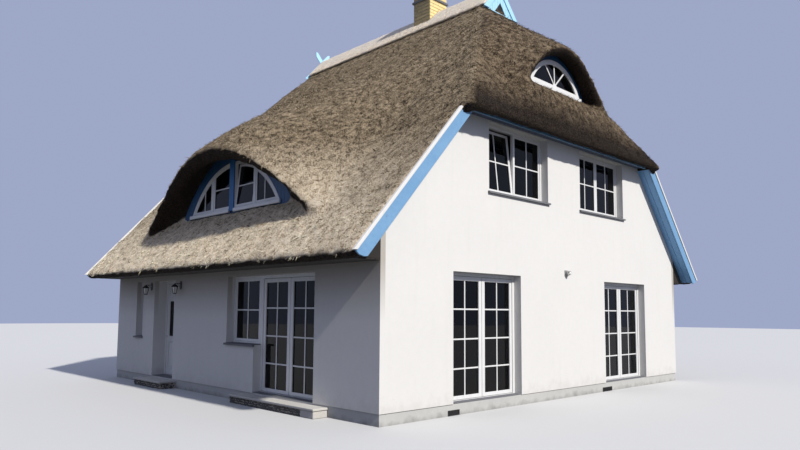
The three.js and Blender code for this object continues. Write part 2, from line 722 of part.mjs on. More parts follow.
// A hinge knuckle on the inner face, joined by a plate that runs sideways from the hinge line.
function hingeKnuckle(x, z, side) {
  const barrel = new THREE.CylinderGeometry(barrelRadius, barrelRadius, knuckle, 12);
  barrel.rotateX(Math.PI / 2);
  barrel.translate(x, hingeDepth, z + knuckle / 2);
  const [x0, x1] = side > 0 ? [x, x + 24] : [x - 24, x];
  return toSolid(barrel).add(box(x0, x1, frameDepth - 4, hingeDepth, z, z + knuckle));
}

function framePins(width, sides) {
  return sides.flatMap((side) => hingeHeights.map((z) => hingeKnuckle(side * hingeLine(width), z, side)));
}

// A glazed leaf from x0 to x1 in its frame, hung at the side given by sign. Its glass can be a smaller light.
function doorLeaf(width, head, x0, x1, side, light = { foot: floorTop, head, stile: stileWidth, width }) {
  const [low, high] = [floorTop + 22 + leafGap, head - frameWidth - leafGap];
  const [front, back] = [frameDepth - leafThickness, frameDepth];
  const leaf = box(x0, x1, front, back, low, high);
  const g0 = x0 + light.stile;
  const g1 = Math.min(g0 + light.width, x1 - stileWidth);
  const [bottom, top] = [Math.max(low + stileWidth, light.foot), Math.min(high - stileWidth, light.head)];
  const pane = (leafThickness - glassDepth) / 2;
  const pockets = [
    box(g0, g1, front - 1, front + pane, bottom, top),
    box(g0, g1, back - pane, back + 1, bottom, top),
  ];
  const knuckles = hingeHeights.map((z) => hingeKnuckle(side * hingeLine(width), z + knuckle + seat, -side));
  return join(cut(leaf, ...pockets), ...knuckles);
}

function addDoubleDoor(name, width, head, face, along) {
  const meeting = 5;
  const edge = leafEdge(width);
  add(`${name}_leaf_a`, placed(doorLeaf(width, head, -edge, -meeting, -1), face, along, revealDepth), 'white', 0.35);
  add(`${name}_leaf_b`, placed(doorLeaf(width, head, meeting, edge, 1), face, along, revealDepth), 'white', 0.35);
}

function addDoors() {
  const width = frontDoor.outer - frontDoor.inner;
  const middle = (frontDoor.outer + frontDoor.inner) / 2;
  for (const [name, along] of [['front_left_door', -middle], ['front_right_door', middle]]) {
    const frame = doorFrame(width, frontDoor.head, framePins(width, [-1, 1]));
    add(`${name}_frame`, placed(frame, frontFace, along, revealDepth), 'white', 0.35);
    addDoubleDoor(name, width, frontDoor.head, frontFace, along);
  }
  addTerraceDoor();
  addEntrance();
}

function addTerraceDoor() {
  const width = terraceDoor.to - terraceDoor.from;
  const middle = -(terraceDoor.to + terraceDoor.from) / 2;
  const lightWidth = terraceWindow.to - terraceWindow.from;
  const lightMiddle = -(terraceWindow.to + terraceWindow.from) / 2;
  const light = windowUnit(lightWidth, groundSill, longWallHead, 1).translate([lightMiddle - middle, 0, 0]);
  const seam = box(-width / 2 - 5, -width / 2 + 5, 0, frameDepth, groundSill + 1, longWallHead - 1);
  const frame = join(doorFrame(width, longWallHead, framePins(width, [-1, 1])), light, seam);
  add('terrace_door_frame', placed(frame, leftFace, middle, revealDepth), 'white', 0.35);
  addDoubleDoor('terrace_door', width, longWallHead, leftFace, middle);
}

function addEntrance() {
  const width = entrance.to - entrance.from;
  const middle = -(entrance.to + entrance.from) / 2;
  const frame = doorFrame(width, longWallHead, framePins(width, [1]));
  add('entrance_frame', placed(frame, leftFace, middle, nicheDepth), 'white', 0.35);
  const edge = leafEdge(width);
  const leaf = doorLeaf(width, longWallHead, -edge, edge, 1, entranceLight);
  add('entrance_leaf', placed(leaf, leftFace, middle, nicheDepth), 'white', 0.35);
}

// A step with a thin slab on a rougher base, between two places along the left wall.
function step({ from, to, reach }) {
  const { base, top, nosing } = stepSlab;
  const inner = -(halfWidth - plinthInset);
  return join(
    box(inner - reach + nosing, inner, from + nosing, to - nosing, 0, base + 1),
    box(inner - reach, inner, from, to, base, top),
  );
}

function addSteps() {
  add('terrace_step', step(terraceStep), 'stone');
  add('entrance_step', step(entranceStep), 'stone');
}

// A wall lantern at a place along the left wall: back plate, arm and a six-sided lamp with a pointed roof.
function wallLantern(y) {
  const { height: z, reach } = lantern;
  const profile = [[0, -90], [38, -90], [62, 60], [84, 66], [14, 128], [0, 132]].map(([r, h]) => new THREE.Vector2(r, h));
  const lamp = new THREE.LatheGeometry(profile, 6);
  lamp.rotateX(Math.PI / 2);
  lamp.translate(-halfWidth - reach, y, z);
  const plate = box(-halfWidth - 18, -halfWidth, y - 35, y + 35, z + 10, z + 190);
  const arm = box(-halfWidth - reach - 10, -halfWidth - 10, y - 9, y + 9, z + 118, z + 136);
  return join(toSolid(lamp), plate, arm);
}

// The two lanterns beside the entrance
function addLanterns() {
  add('wall_lantern_right', wallLantern(lantern.near), 'iron', 0.5);
  add('wall_lantern_left', wallLantern(lantern.far), 'iron', 0.5);
}

// A small round bulkhead lamp on the gable, over the space between the doors.
function addWallLight() {
  const { x, z, plate, plateHeight } = wallLight;
  const profile = [[0, -8], [50, -8], [50, 70], [38, 96], [0, 102]].map(([r, h]) => new THREE.Vector2(r, h));
  const lamp = new THREE.LatheGeometry(profile, 20);
  lamp.rotateX(Math.PI);
  lamp.translate(x, -halfLength - 9, z);
  const base = box(x - plate, x + plate, -halfLength - 20, -halfLength, z - plateHeight, z + plateHeight);
  add('wall_light', join(toSolid(lamp), base), 'iron', 0.5);
}

addFoundation();
addFrontWall();
addBackWall();
addLeftWall();
addRightWall();
addFloors();
addThatch();
addRidgeCap();
addChimney();
addBargeboards();
addHipEaveBoards();
addEaveSoffits();
addGablets();
addWindows();
addDormers();
addHipWindows();
addDoors();
addSteps();
addLanterns();
addWallLight();

export default group;
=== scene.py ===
"""The looks of a thatched cottage: thatch, joinery, boards, brickwork and render around its fixed solids."""
import logging
import math
from contextlib import contextmanager
from dataclasses import dataclass
from enum import Enum
from typing import Callable, Iterable, Iterator, Sequence

import bmesh
import bpy
import numpy as np
from mathutils import Matrix, Vector, noise
from mathutils.geometry import tessellate_polygon


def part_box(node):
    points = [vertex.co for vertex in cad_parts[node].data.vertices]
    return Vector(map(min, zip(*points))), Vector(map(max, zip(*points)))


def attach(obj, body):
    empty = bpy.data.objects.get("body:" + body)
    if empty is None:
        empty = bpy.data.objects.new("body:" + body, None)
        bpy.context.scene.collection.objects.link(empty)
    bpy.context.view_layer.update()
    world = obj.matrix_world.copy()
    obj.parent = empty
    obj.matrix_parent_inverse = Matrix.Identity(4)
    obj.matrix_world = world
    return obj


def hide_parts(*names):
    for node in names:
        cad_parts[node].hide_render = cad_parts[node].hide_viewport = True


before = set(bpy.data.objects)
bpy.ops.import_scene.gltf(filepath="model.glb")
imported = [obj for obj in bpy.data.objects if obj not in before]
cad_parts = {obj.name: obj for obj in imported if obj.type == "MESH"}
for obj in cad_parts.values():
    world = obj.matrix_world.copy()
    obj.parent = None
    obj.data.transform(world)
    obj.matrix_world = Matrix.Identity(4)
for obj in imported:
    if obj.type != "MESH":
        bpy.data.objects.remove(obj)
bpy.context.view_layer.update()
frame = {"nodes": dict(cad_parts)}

LOG = logging.getLogger("cottage")
HOUSE = "house"
SEED = 4711

Array = np.ndarray
Mesh = bpy.types.Mesh
Node = bpy.types.Node
Object = bpy.types.Object
Socket = bpy.types.NodeSocket
Triple = tuple[float, float, float]
Colour = Triple
Point = tuple[float, float]
Outline = list[Point]

# Leading sizes in metres, as the solids have them
HALF_WIDTH = 5.0
HALF_LENGTH = 4.79
RIDGE = 8.92
PITCH = math.tan(math.radians(48.2))
THATCH_DROP = 0.33
HIP_EAVE_REACH = 5.22
HIP_EAVE_HEIGHT = 5.1
HIP_TOP = 8.27
HIP_DROP = 0.37
GABLET_PLANE = 3.2
HIP_PITCH = (HIP_TOP - HIP_EAVE_HEIGHT) / (HIP_EAVE_REACH - GABLET_PLANE)
HIP_TIP = HIP_EAVE_REACH - (RIDGE - HIP_EAVE_HEIGHT) / HIP_PITCH
VERGE_PLANE = 5.0403
SEAT = 0.0003

# Chamfers in metres: on joinery, on thin bars, and on seals and panes
EDGE = 0.004
THIN_EDGE = 0.003
FINE_EDGE = 0.0008

# The smallest divisor for a mitred corner, so that a sharp one doesn't run away
SHARPEST_MITRE = 0.35


def slope_top(x: float) -> float:
    """The height of the long slopes' upper face at a distance x from the ridge line."""
    return RIDGE - PITCH * abs(x)


def slope_reach(z: float, drop: float) -> float:
    """How far out a long slope's face, lowered by drop, reaches at height z."""
    return (RIDGE - drop - z) / PITCH


def scaled(colour: Colour, factor: float) -> Colour:
    """A colour, darker or lighter by a factor."""
    return tuple(factor * channel for channel in colour)


def half_turn(turn: bool) -> Matrix:
    """Half a turn about the house's middle, or none."""
    return Matrix.Rotation(math.pi if turn else 0.0, 4, "Z")


def arc(half_span: float, base: float, rise: float, steps: int = 28) -> Outline:
    """A circle's arc over a level chord, from its left end to its right."""
    radius = (half_span**2 + rise**2) / (2 * rise)
    reach = math.asin(half_span / radius)
    angles = [-reach + 2 * reach * i / steps for i in range(steps + 1)]
    return [(radius * math.sin(a), base + rise - radius + radius * math.cos(a)) for a in angles]


def arch_height(half_span: float, base: float, rise: float, a: float) -> float:
    """The height of a shallow thatcher's arch at a place across it."""
    return base + rise * max(1 - (a / half_span) ** 2, 0.0)


def rectangle(a0: float, a1: float, b0: float, b1: float) -> Outline:
    """A rectangle's outline."""
    return [(a0, b0), (a1, b0), (a1, b1), (a0, b1)]


def area(outline: Outline) -> float:
    """The signed area of an outline, positive where it runs anticlockwise."""
    return sum(p[0] * q[1] - q[0] * p[1] for p, q in zip(outline, outline[1:] + outline[:1])) / 2


def turned(outline: Outline, anticlockwise: bool) -> Outline:
    """The outline, run the way that is asked for."""
    return outline if (area(outline) > 0) == anticlockwise else outline[::-1]


def inset(outline: Outline, distance: float) -> Outline:
    """The outline moved to its left by a distance, with its corners kept mitred.

    Args:
        outline: the corners in order.
        distance: how far to the left of its run each side moves.

    Returns:
        As many corners as the outline has.
    """
    points = np.array(outline)
    back = points - np.roll(points, 1, axis=0)
    ahead = np.roll(points, -1, axis=0) - points
    normals = [np.stack((-side[:, 1], side[:, 0]), axis=1) / np.linalg.norm(side, axis=1)[:, None]
               for side in (back, ahead)]
    spread = np.maximum(1 + np.sum(normals[0] * normals[1], axis=1), SHARPEST_MITRE)
    moved = points + distance * (normals[0] + normals[1]) / spread[:, None]
    return [tuple(point) for point in moved.tolist()]


class Plane(Enum):
    """The two axes that an outline lies in, and the third, which carries it."""

    ELEVATION = (0, 2, 1)
    SECTION = (1, 2, 0)
    PLAN = (0, 1, 2)

    def place(self, a: float, b: float, d: float) -> list[float]:
        """A point of the outline at a depth d, as x, y and z."""
        point = [0.0, 0.0, 0.0]
        for axis, value in zip(self.value, (a, b, d)):
            point[axis] = value
        return point

    @property
    def mirrors(self) -> bool:
        """True where the three axes, in this order, are left-handed."""
        return self is Plane.ELEVATION


class Wall(Enum):
    """The four outer walls. In a wall's own frame x runs along it, y goes in from its face, and z is up."""

    FRONT = (0, HALF_LENGTH)
    LEFT = (-90, HALF_WIDTH)
    BACK = (180, HALF_LENGTH)
    RIGHT = (90, HALF_WIDTH)

    @property
    def matrix(self) -> Matrix:
        """The move from the wall's own frame to the house's."""
        angle, reach = self.value
        return Matrix.Rotation(math.radians(angle), 4, "Z") @ Matrix.Translation((0, -reach, 0))

    def box(self, node: str) -> tuple[Vector, Vector]:
        """The lowest and highest corner of a solid in the wall's own frame."""
        back = self.matrix.inverted()
        low, high = (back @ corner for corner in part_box(node))
        return Vector(map(min, low, high)), Vector(map(max, low, high))


class Graph:
    """A tree of shader nodes, with short calls to add nodes and join them."""

    def __init__(self, tree: bpy.types.NodeTree) -> None:
        """Work on a material's or a group's tree."""
        self.tree = tree

    def feed(self, socket: Socket, value: object) -> None:
        """Join an output to a socket, or set the socket's own value."""
        if isinstance(value, Socket):
            self.tree.links.new(value, socket)
        elif socket.type == "RGBA":
            socket.default_value = (*value[:3], 1.0)
        else:
            socket.default_value = value

    def add(self, kind: str, inputs: dict | None = None, **settings: object) -> Node:
        """Add a node.

        Args:
            kind: the node's type without the word ShaderNode.
            inputs: values or outputs for its sockets, by name or place.
            settings: the node's own settings.

        Returns:
            The new node.
        """
        node = self.tree.nodes.new("ShaderNode" + kind)
        for key, value in settings.items():
            setattr(node, key, value)
        for key, value in (inputs or {}).items():
            self.feed(node.inputs[key], value)
        return node

    def math(self, operation: str, a: object, b: object = 0.0) -> Socket:
        """One sum of two values, held between 0 and 1."""
        return self.add("Math", {0: a, 1: b}, operation=operation, use_clamp=True).outputs[0]

    def free(self, operation: str, a: object, b: object = 0.0) -> Socket:
        """One sum of two values, not held in any range."""
        return self.add("Math", {0: a, 1: b}, operation=operation).outputs[0]

    def spread(self, value: object, low: float, high: float, to: Point = (0.0, 1.0)) -> Socket:
        """A value stretched from one range to another and held in it."""
        inputs = {"Value": value, "From Min": low, "From Max": high, "To Min": to[0], "To Max": to[1]}
        return self.add("MapRange", inputs).outputs[0]

    def mix(self, share: object, a: object, b: object) -> Socket:
        """Two colours blended by a share."""
        return self.add("Mix", {0: share, 6: a, 7: b}, data_type="RGBA").outputs[2]

    def blend(self, share: object, a: object, b: object) -> Socket:
        """Two values blended by a share."""
        return self.add("Mix", {0: share, 2: a, 3: b}, data_type="FLOAT").outputs[0]

    def place(self, scale: object = (1.0, 1.0, 1.0)) -> Socket:
        """Places on the piece at rest, stretched along each axis."""
        source = self.add("TexCoord").outputs["Object"]
        return self.add("VectorMath", {0: source, 1: scale}, operation="MULTIPLY").outputs[0]

    def along(self, axis: str) -> Socket:
        """One of the place's three coordinates."""
        return self.add("SeparateXYZ", {0: self.place()}).outputs[axis]

    def aside(self, axis: str) -> Socket:
        """How far the place lies from the middle of the house along one axis."""
        return self.free("ABSOLUTE", self.along(axis))

    def facing(self) -> Socket:
        """How far the surface faces up, from -1 to 1."""
        return self.add("SeparateXYZ", {0: self.add("TexCoord").outputs["Normal"]}).outputs["Z"]

    def noise(self, vector: object, scale: object, detail: float = 2.0,
              rough: float = 0.5) -> Socket:
        """A cloudy pattern from 0 to 1."""
        inputs = {"Vector": vector, "Scale": scale, "Detail": detail, "Roughness": rough}
        return self.add("TexNoise", inputs).outputs[0]

    def ramp(self, value: object, *stops: tuple[float, Colour]) -> Socket:
        """A value turned into a colour by a row of stops."""
        node = self.add("ValToRGB", {0: value})
        elements = node.color_ramp.elements
        while len(elements) < len(stops):
            elements.new(0.5)
        for element, (position, colour) in zip(elements, stops):
            element.position = position
            element.color = (*colour, 1.0)
        return node.outputs[0]

    def bump(self, height: object, depth: float, strength: float = 1.0) -> Socket:
        """A normal roughened by a height pattern of a real depth."""
        return self.add("Bump", {"Height": height, "Distance": depth, "Strength": strength}).outputs[0]

    def effect(self, kind: type["Effect"], **inputs: object) -> Node:
        """Place a shared pattern with its own values."""
        node = self.add("Group")
        node.node_tree = kind.tree()
        for key, value in inputs.items():
            self.feed(node.inputs[key], value)
        return node

    def tone(self, coarse: float, fine: float, balance: float = 0.5) -> Socket:
        """Uneven tone at two sizes, the fine one taking a share of balance."""
        return self.effect(Mottle, Coarse=coarse, Fine=fine, Balance=balance).outputs["Tone"]

    def fibre(self, stretch: Triple, scale: float) -> Socket:
        """Fibres, closely packed along the axes with a large stretch."""
        inputs = {f"Across {axis}": value for axis, value in zip("XYZ", stretch)}
        return self.effect(Grain, **inputs, Scale=scale).outputs["Fibre"]


class Effect:
    """A shared pattern: a node group with named inputs and outputs, built once."""

    name = ""
    inputs: dict[str, float] = {}
    outputs: tuple[str, ...] = ()

    @classmethod
    def tree(cls) -> bpy.types.NodeTree:
        """The group's tree, built when it is first asked for."""
        known = bpy.data.node_groups.get(cls.name)
        if known:
            return known
        tree = bpy.data.node_groups.new(cls.name, "ShaderNodeTree")
        for key, value in cls.inputs.items():
            socket = tree.interface.new_socket(key, in_out="INPUT", socket_type="NodeSocketFloat")
            socket.default_value = value
        for key in cls.outputs:
            tree.interface.new_socket(key, in_out="OUTPUT", socket_type="NodeSocketFloat")
        source = tree.nodes.new("NodeGroupInput")
        target = tree.nodes.new("NodeGroupOutput")
        graph = Graph(tree)
        for key, socket in cls.wire(graph, source.outputs).items():
            tree.links.new(socket, target.inputs[key])
        return tree

    @classmethod
    def wire(cls, graph: Graph, given: bpy.types.bpy_prop_collection) -> dict[str, Socket]:
        """Build the pattern's nodes.

        Args:
            graph: the group's tree.
            given: the group's inputs.

        Returns:
            An output for each name in outputs.
        """
        raise NotImplementedError


class Mottle(Effect):
    """Uneven tone at two sizes, as in render, stone and weather-worn paint."""

    name = "mottle"
    inputs = {"Coarse": 1.0, "Fine": 20.0, "Balance": 0.5}
    outputs = ("Tone",)

    @classmethod
    def wire(cls, graph: Graph, given: bpy.types.bpy_prop_collection) -> dict[str, Socket]:
        """Blend a coarse and a fine cloud."""
        coarse = graph.noise(graph.place(), given["Coarse"], 3.0)
        fine = graph.noise(graph.place(), given["Fine"], 2.0, 0.6)
        return {"Tone": graph.spread(graph.blend(given["Balance"], coarse, fine), 0.3, 0.7)}


class Grain(Effect):
    """Fibres drawn out along one direction, as in timber, brushed paint and rain streaks."""

    name = "grain"
    inputs = {"Across X": 1.0, "Across Y": 1.0, "Across Z": 1.0, "Scale": 10.0}
    outputs = ("Fibre",)

    @classmethod
    def wire(cls, graph: Graph, given: bpy.types.bpy_prop_collection) -> dict[str, Socket]:
        """Stretch a cloud by a factor along each axis."""
        factors = graph.add("CombineXYZ", {axis: given["Across " + axis] for axis in "XYZ"}).outputs[0]
        cloud = graph.noise(graph.place(factors), given["Scale"], 4.0, 0.6)
        return {"Fibre": graph.spread(cloud, 0.28, 0.72)}


class Grime(Effect):
    """Dirt that thins out upwards from a foot height, with a ragged edge."""

    name = "grime"
    inputs = {"Foot": 0.0, "Reach": 0.5, "Ragged": 0.5}
    outputs = ("Dirt",)

    @classmethod
    def wire(cls, graph: Graph, given: bpy.types.bpy_prop_collection) -> dict[str, Socket]:
        """Fade with height and break the fade up with a cloud."""
        above = graph.free("SUBTRACT", graph.along("Z"), given["Foot"])
        share = graph.free("DIVIDE", above, given["Reach"])
        cloud = graph.spread(graph.noise(graph.place(), 5.0, 4.0, 0.65), 0.3, 0.7)
        edge = graph.free("ADD", share, graph.free("MULTIPLY", cloud, given["Ragged"]))
        return {"Dirt": graph.math("SUBTRACT", 1.0, edge)}


class ReedEnds(Effect):
    """Cut reed ends and the short shadows between them."""

    name = "reed_ends"
    inputs = {"Size": 40.0}
    outputs = ("Fleck", "Clump", "Relief")

    @classmethod
    def wire(cls, graph: Graph, given: bpy.types.bpy_prop_collection) -> dict[str, Socket]:
        """Lay fine flecks over clumps a hand wide."""
        place = graph.place()
        fleck = graph.spread(graph.noise(place, given["Size"], 3.0, 0.7), 0.33, 0.67)
        clump = graph.noise(place, graph.free("MULTIPLY", given["Size"], 0.22), 3.0, 0.6)
        clump = graph.spread(clump, 0.3, 0.7)
        return {"Fleck": fleck, "Clump": clump, "Relief": graph.blend(0.4, fleck, clump)}


@dataclass(frozen=True)
class Finish:
    """How a surface looks. Each kind of finish shades itself, and its material is made once."""

    name: str

    def material(self) -> bpy.types.Material:
        """The finish's material, made when it is first asked for."""
        known = bpy.data.materials.get(self.name)
        if known:
            return known
        material = bpy.data.materials.new(self.name)
        material.use_nodes = True
        material.node_tree.nodes.clear()
        graph = Graph(material.node_tree)
        graph.add("OutputMaterial", {"Surface": self.shade(graph).outputs[0]})
        return material

    def shade(self, graph: Graph) -> Node:
        """Add the finish's nodes and return its shader."""
        raise NotImplementedError

    @staticmethod
    def shader(graph: Graph, colour: object, rough: object, normal: object = None,
               **plain: object) -> Node:
        """A plain surface shader.

        Args:
            graph: the material's tree.
            colour: the base colour.
            rough: the roughness.
            normal: a roughened normal, if there is one.
            plain: constant values for other sockets, with spaces as underscores.

        Returns:
            The shader node.
        """
        inputs = {"Base Color": colour, "Roughness": rough}
        if normal is not None:
            inputs["Normal"] = normal
        inputs.update({key.replace("_", " "): value for key, value in plain.items()})
        return graph.add("BsdfPrincipled", inputs)


@dataclass(frozen=True)
class LimeRender(Finish):
    """Painted render with a sandy grain, faint trowel waves, grime at its foot, and painted shade under the
    eaves.
    """

    colour: Colour
    shadow: Colour
    # The grime colour also paints the shade under the long eaves.
    grime: Colour
    foot: float
    reach: float
    strength: float
    eave_shade_heights: Point = (1.5, 2.4)
    shade_share: float = 0.85

    def shade(self, graph: Graph) -> Node:
        """Tone, streaks, grime from the ground, painted shade under the long eaves, and grain."""
        tone = graph.tone(0.9, 9.0, 0.45)
        streak = graph.spread(graph.fibre((1.6, 1.6, 0.12), 4.0), 0.6, 1.0, (0.0, 0.05))
        dirt = graph.effect(Grime, Foot=self.foot, Reach=self.reach, Ragged=0.9).outputs["Dirt"]
        dirt = graph.math("MULTIPLY", dirt, self.strength)
        # Painted shade: on the long side walls the top darkens towards the eaves, in the grime colour, where
        # the eaves' shade falls.
        on_side = graph.math("GREATER_THAN", graph.aside("X"), HALF_WIDTH - 0.1)
        eaves = graph.spread(graph.along("Z"), *self.eave_shade_heights, (0.0, self.shade_share))
        base = graph.mix(graph.spread(tone, 0.0, 1.0, (0.0, 0.5)), self.colour, self.shadow)
        for share in (streak, dirt, graph.math("MULTIPLY", on_side, eaves)):
            base = graph.mix(share, base, self.grime)
        sand = graph.noise(graph.place(), 210.0, 3.0, 0.7)
        relief = graph.blend(0.55, sand, graph.noise(graph.place(), 3.2, 2.0))
        rough = graph.spread(tone, 0, 1, (0.82, 0.95))
        return self.shader(graph, base, rough, graph.bump(relief, 0.004, 0.5))


@dataclass(frozen=True)
class SlabAndFloor(LimeRender):
    """The slab: cement render on its edge, and laid boards where it faces up indoors."""

    boards: Colour = (0.32, 0.19, 0.10)

    def shade(self, graph: Graph) -> Node:
        """Cement on the sides and timber on the top."""
        shader = super().shade(graph)
        timber = graph.mix(graph.fibre((22.0, 0.8, 1.0), 4.0), self.boards, scaled(self.boards, 1.5))
        socket = shader.inputs["Base Color"]
        cement = socket.links[0].from_socket
        graph.feed(socket, graph.mix(graph.math("GREATER_THAN", graph.facing(), 0.5), cement, timber))
        return shader


@dataclass(frozen=True)
class FloorBoards(Finish):
    """Planed boards that run along the house, with open joints."""

    colour: Colour
    width: float = 0.14

    def shade(self, graph: Graph) -> Node:
        """Fibres, a tone for each board and dark joints."""
        part = graph.free("FRACT", graph.free("DIVIDE", graph.along("X"), self.width))
        joint = graph.math("LESS_THAN", part, 0.03)
        fibre = graph.fibre((20.0, 0.7, 1.0), 5.0)
        base = graph.mix(fibre, self.colour, scaled(self.colour, 1.45))
        base = graph.mix(joint, base, scaled(self.colour, 0.15))
        return self.shader(graph, base, 0.6, graph.bump(graph.math("SUBTRACT", fibre, joint), 0.003))


@dataclass(frozen=True)
class ReedTone:
    """The colours of one patch of thatch: the painted shade in the hollows between the reeds, their sides and
    their ends.
    """

    hollow: Colour
    middle: Colour
    pale: Colour

    def stops(self, growth: float) -> list[tuple[float, Colour]]:
        """Its colours with their places in the pattern, lighter by a factor."""
        return [(position, tuple(min(growth * channel, 0.97) for channel in colour))
                for position, colour in ((0.22, self.hollow), (0.46, self.middle), (0.80, self.pale))]


SUNNY_REED = ReedTone((0.32, 0.24, 0.15), (0.88, 0.72, 0.51), (0.97, 0.87, 0.69))
GREY_REED = ReedTone((0.020, 0.014, 0.008), (0.205, 0.155, 0.096), (0.45, 0.36, 0.235))
DAMP_REED = ReedTone((0.012, 0.0085, 0.005), (0.098, 0.069, 0.042), (0.25, 0.19, 0.125))
# Near black: the colour of cut reed ends, deepened to paint the shade under eaves and brows.
CUT_REED_AND_SHADE = ReedTone((0.004, 0.003, 0.002), (0.018, 0.012, 0.008), (0.045, 0.032, 0.022))


@dataclass(frozen=True)
class Thatch(Finish):
    """Reed: paler low on the long slopes, partly faded reed and partly painted sunlight; grey and mossy
    above; damp on the hips; near black where it is cut or faces down, partly painted shade.
    """

    size: float = 42.0
    growth: float = 1.0
    bleached_and_sunlit: Point = (4.8, 3.0)
    verge: Point = (-3.3, -5.0)
    roll: Point = (5.85, 5.25)

    def shade(self, graph: Graph) -> Node:
        """Flecks over clumps in four tones, laid out by height, by slope and by where it faces down."""
        reed = graph.effect(ReedEnds, Size=self.size)
        fleck, clump, relief = (reed.outputs[name] for name in ReedEnds.outputs)
        hollows = graph.spread(graph.noise(graph.place(), 10.0, 4.0, 0.65), 0.30, 0.70, (-0.15, 0.13))
        value = graph.free("ADD", graph.blend(0.45, fleck, clump), hollows)
        sunny, grey, damp = (graph.ramp(value, *tone.stops(self.growth))
                             for tone in (SUNNY_REED, GREY_REED, DAMP_REED))
        patch = graph.tone(0.5, 2.6)
        # Painted sunlight in part: the long slopes grow paler towards their foot, partly faded reed and
        # partly painted sunlight, less so near the front verge.
        low = graph.spread(graph.along("Z"), *self.bleached_and_sunlit)
        verge = graph.spread(graph.along("Y"), *self.verge, (1.0, 0.65))
        patchy = graph.math("MULTIPLY", verge, graph.spread(patch, 0.0, 0.8, (0.72, 1.0)))
        hip = self.on_hip(graph)
        base = graph.mix(graph.math("MULTIPLY", low, patchy), grey, sunny)
        base = graph.mix(graph.math("MULTIPLY", hip, graph.spread(patch, 0.1, 1.0, (1.0, 0.72))), base, damp)
        track = graph.fibre((0.5, 1.5, 0.3), 1.6)
        base = graph.mix(graph.spread(track, 0.55, 1.0, (0.0, 0.3)), base, damp)
        # Painted shade in part: faces that point down, and a band along the hips' eaves, take the near-black
        # cut-reed colour.
        hip_eave_band = graph.math("MULTIPLY", hip, graph.spread(graph.along("Z"), *self.roll))
        below = graph.math("MAXIMUM", graph.spread(graph.facing(), 0.15, -0.2), hip_eave_band)
        base = graph.mix(below, base, graph.ramp(fleck, *CUT_REED_AND_SHADE.stops(self.growth)))
        return self.shader(graph, base, 0.95, graph.bump(relief, 0.03), Specular_IOR_Level=0.15)

    @staticmethod
    def on_hip(graph: Graph) -> Socket:
        """1 on the hips and 0 on the long slopes, from where a place lies on plan."""
        wedge = graph.free("MULTIPLY", graph.free("SUBTRACT", graph.aside("Y"), HIP_TIP), HIP_PITCH / PITCH)
        return graph.spread(graph.free("SUBTRACT", wedge, graph.aside("X")), -0.12, 0.12)


@dataclass(frozen=True)
class RidgeStraw(Finish):
    """Straw faded pale by the sun, bent over the ridge, its stalks running down both sides."""

    pale: Colour = (0.80, 0.73, 0.61)
    shadow: Colour = (0.60, 0.52, 0.41)

    def shade(self, graph: Graph) -> Node:
        """Stalks across the ridge, with mottled shade between."""
        stalk = graph.fibre((0.6, 9.0, 0.6), 14.0)
        patch = graph.spread(graph.tone(1.6, 30.0, 0.6), 0.3, 1.0, (0.0, 0.3))
        base = graph.mix(patch, graph.mix(stalk, self.shadow, self.pale), self.shadow)
        return self.shader(graph, base, 0.9, graph.bump(stalk, 0.012, 0.8))


@dataclass(frozen=True)
class BrickFace(Finish):
    """Fired brick with sandy pits, and a tone that changes from brick to brick."""

    colour: Colour
    other: Colour
    # The soot colour also paints the shade on the stack's -x face.
    soot: Colour = (0.06, 0.05, 0.04)
    shaded_side: Point = (-0.30, -0.27)

    def shade(self, graph: Graph) -> Node:
        """A tone for each brick, pits, soot towards the head, and painted shade on the stack's -x face."""
        place = graph.place((4.0, 4.4, 12.0))
        cell = graph.add("TexVoronoi", {"Vector": place, "Scale": 1.0, "Randomness": 0.6}).outputs["Color"]
        pits = graph.noise(graph.place(), 120.0, 4.0, 0.7)
        base = graph.mix(graph.add("SeparateColor", {0: cell}).outputs[0], self.colour, self.other)
        base = graph.mix(graph.spread(pits, 0.5, 0.75, (0.0, 0.4)), base, scaled(self.other, 0.45))
        high = graph.spread(graph.along("Z"), 9.2, 9.8)
        soot = graph.math("MULTIPLY", high, graph.spread(pits, 0.35, 0.6, (0.2, 0.8)))
        # Painted shade: the stack's -x face darkens in the soot colour.
        painted_shade = graph.spread(graph.along("X"), *self.shaded_side, (0.45, 0.0))
        base = graph.mix(graph.math("MAXIMUM", soot, painted_shade), base, self.soot)
        return self.shader(graph, base, 0.86, graph.bump(pits, 0.004, 0.7))


@dataclass(frozen=True)
class BoardPaint(Finish):
    """Painted boards: brushed grain under the paint, chalking, and fine drips of dirt."""

    colour: Colour
    chalk: Colour
    stretch: Triple
    rough: float = 0.42

    def shade(self, graph: Graph) -> Node:
        """Grain, chalky patches and dirt."""
        fibre = graph.fibre(self.stretch, 9.0)
        tone = graph.tone(2.2, 16.0)
        base = graph.mix(graph.spread(tone, 0.2, 1.0, (0.0, 0.55)), self.colour, self.chalk)
        base = graph.mix(graph.spread(fibre, 0.62, 1.0, (0.0, 0.3)), base, scaled(self.colour, 0.6))
        rough = graph.spread(tone, 0, 1, (self.rough, self.rough + 0.18))
        return self.shader(graph, base, rough, graph.bump(fibre, 0.0015, 0.6))


@dataclass(frozen=True)
class Lacquer(Finish):
    """Smooth painted joinery with a faint veil of dust."""

    colour: Colour
    dust: Colour
    rough: float = 0.3

    def shade(self, graph: Graph) -> Node:
        """A veil of dust and a light orange-peel surface."""
        tone = graph.tone(3.0, 40.0)
        veil = graph.spread(graph.fibre((3.0, 3.0, 0.5), 6.0), 0.55, 1.0, (0.0, 0.35))
        rough = graph.spread(tone, 0, 1, (self.rough, self.rough + 0.15))
        base, relief = graph.mix(veil, self.colour, self.dust), graph.bump(tone, 0.0006, 0.4)
        return self.shader(graph, base, rough, relief, Coat_Weight=0.15, Coat_Roughness=0.2)


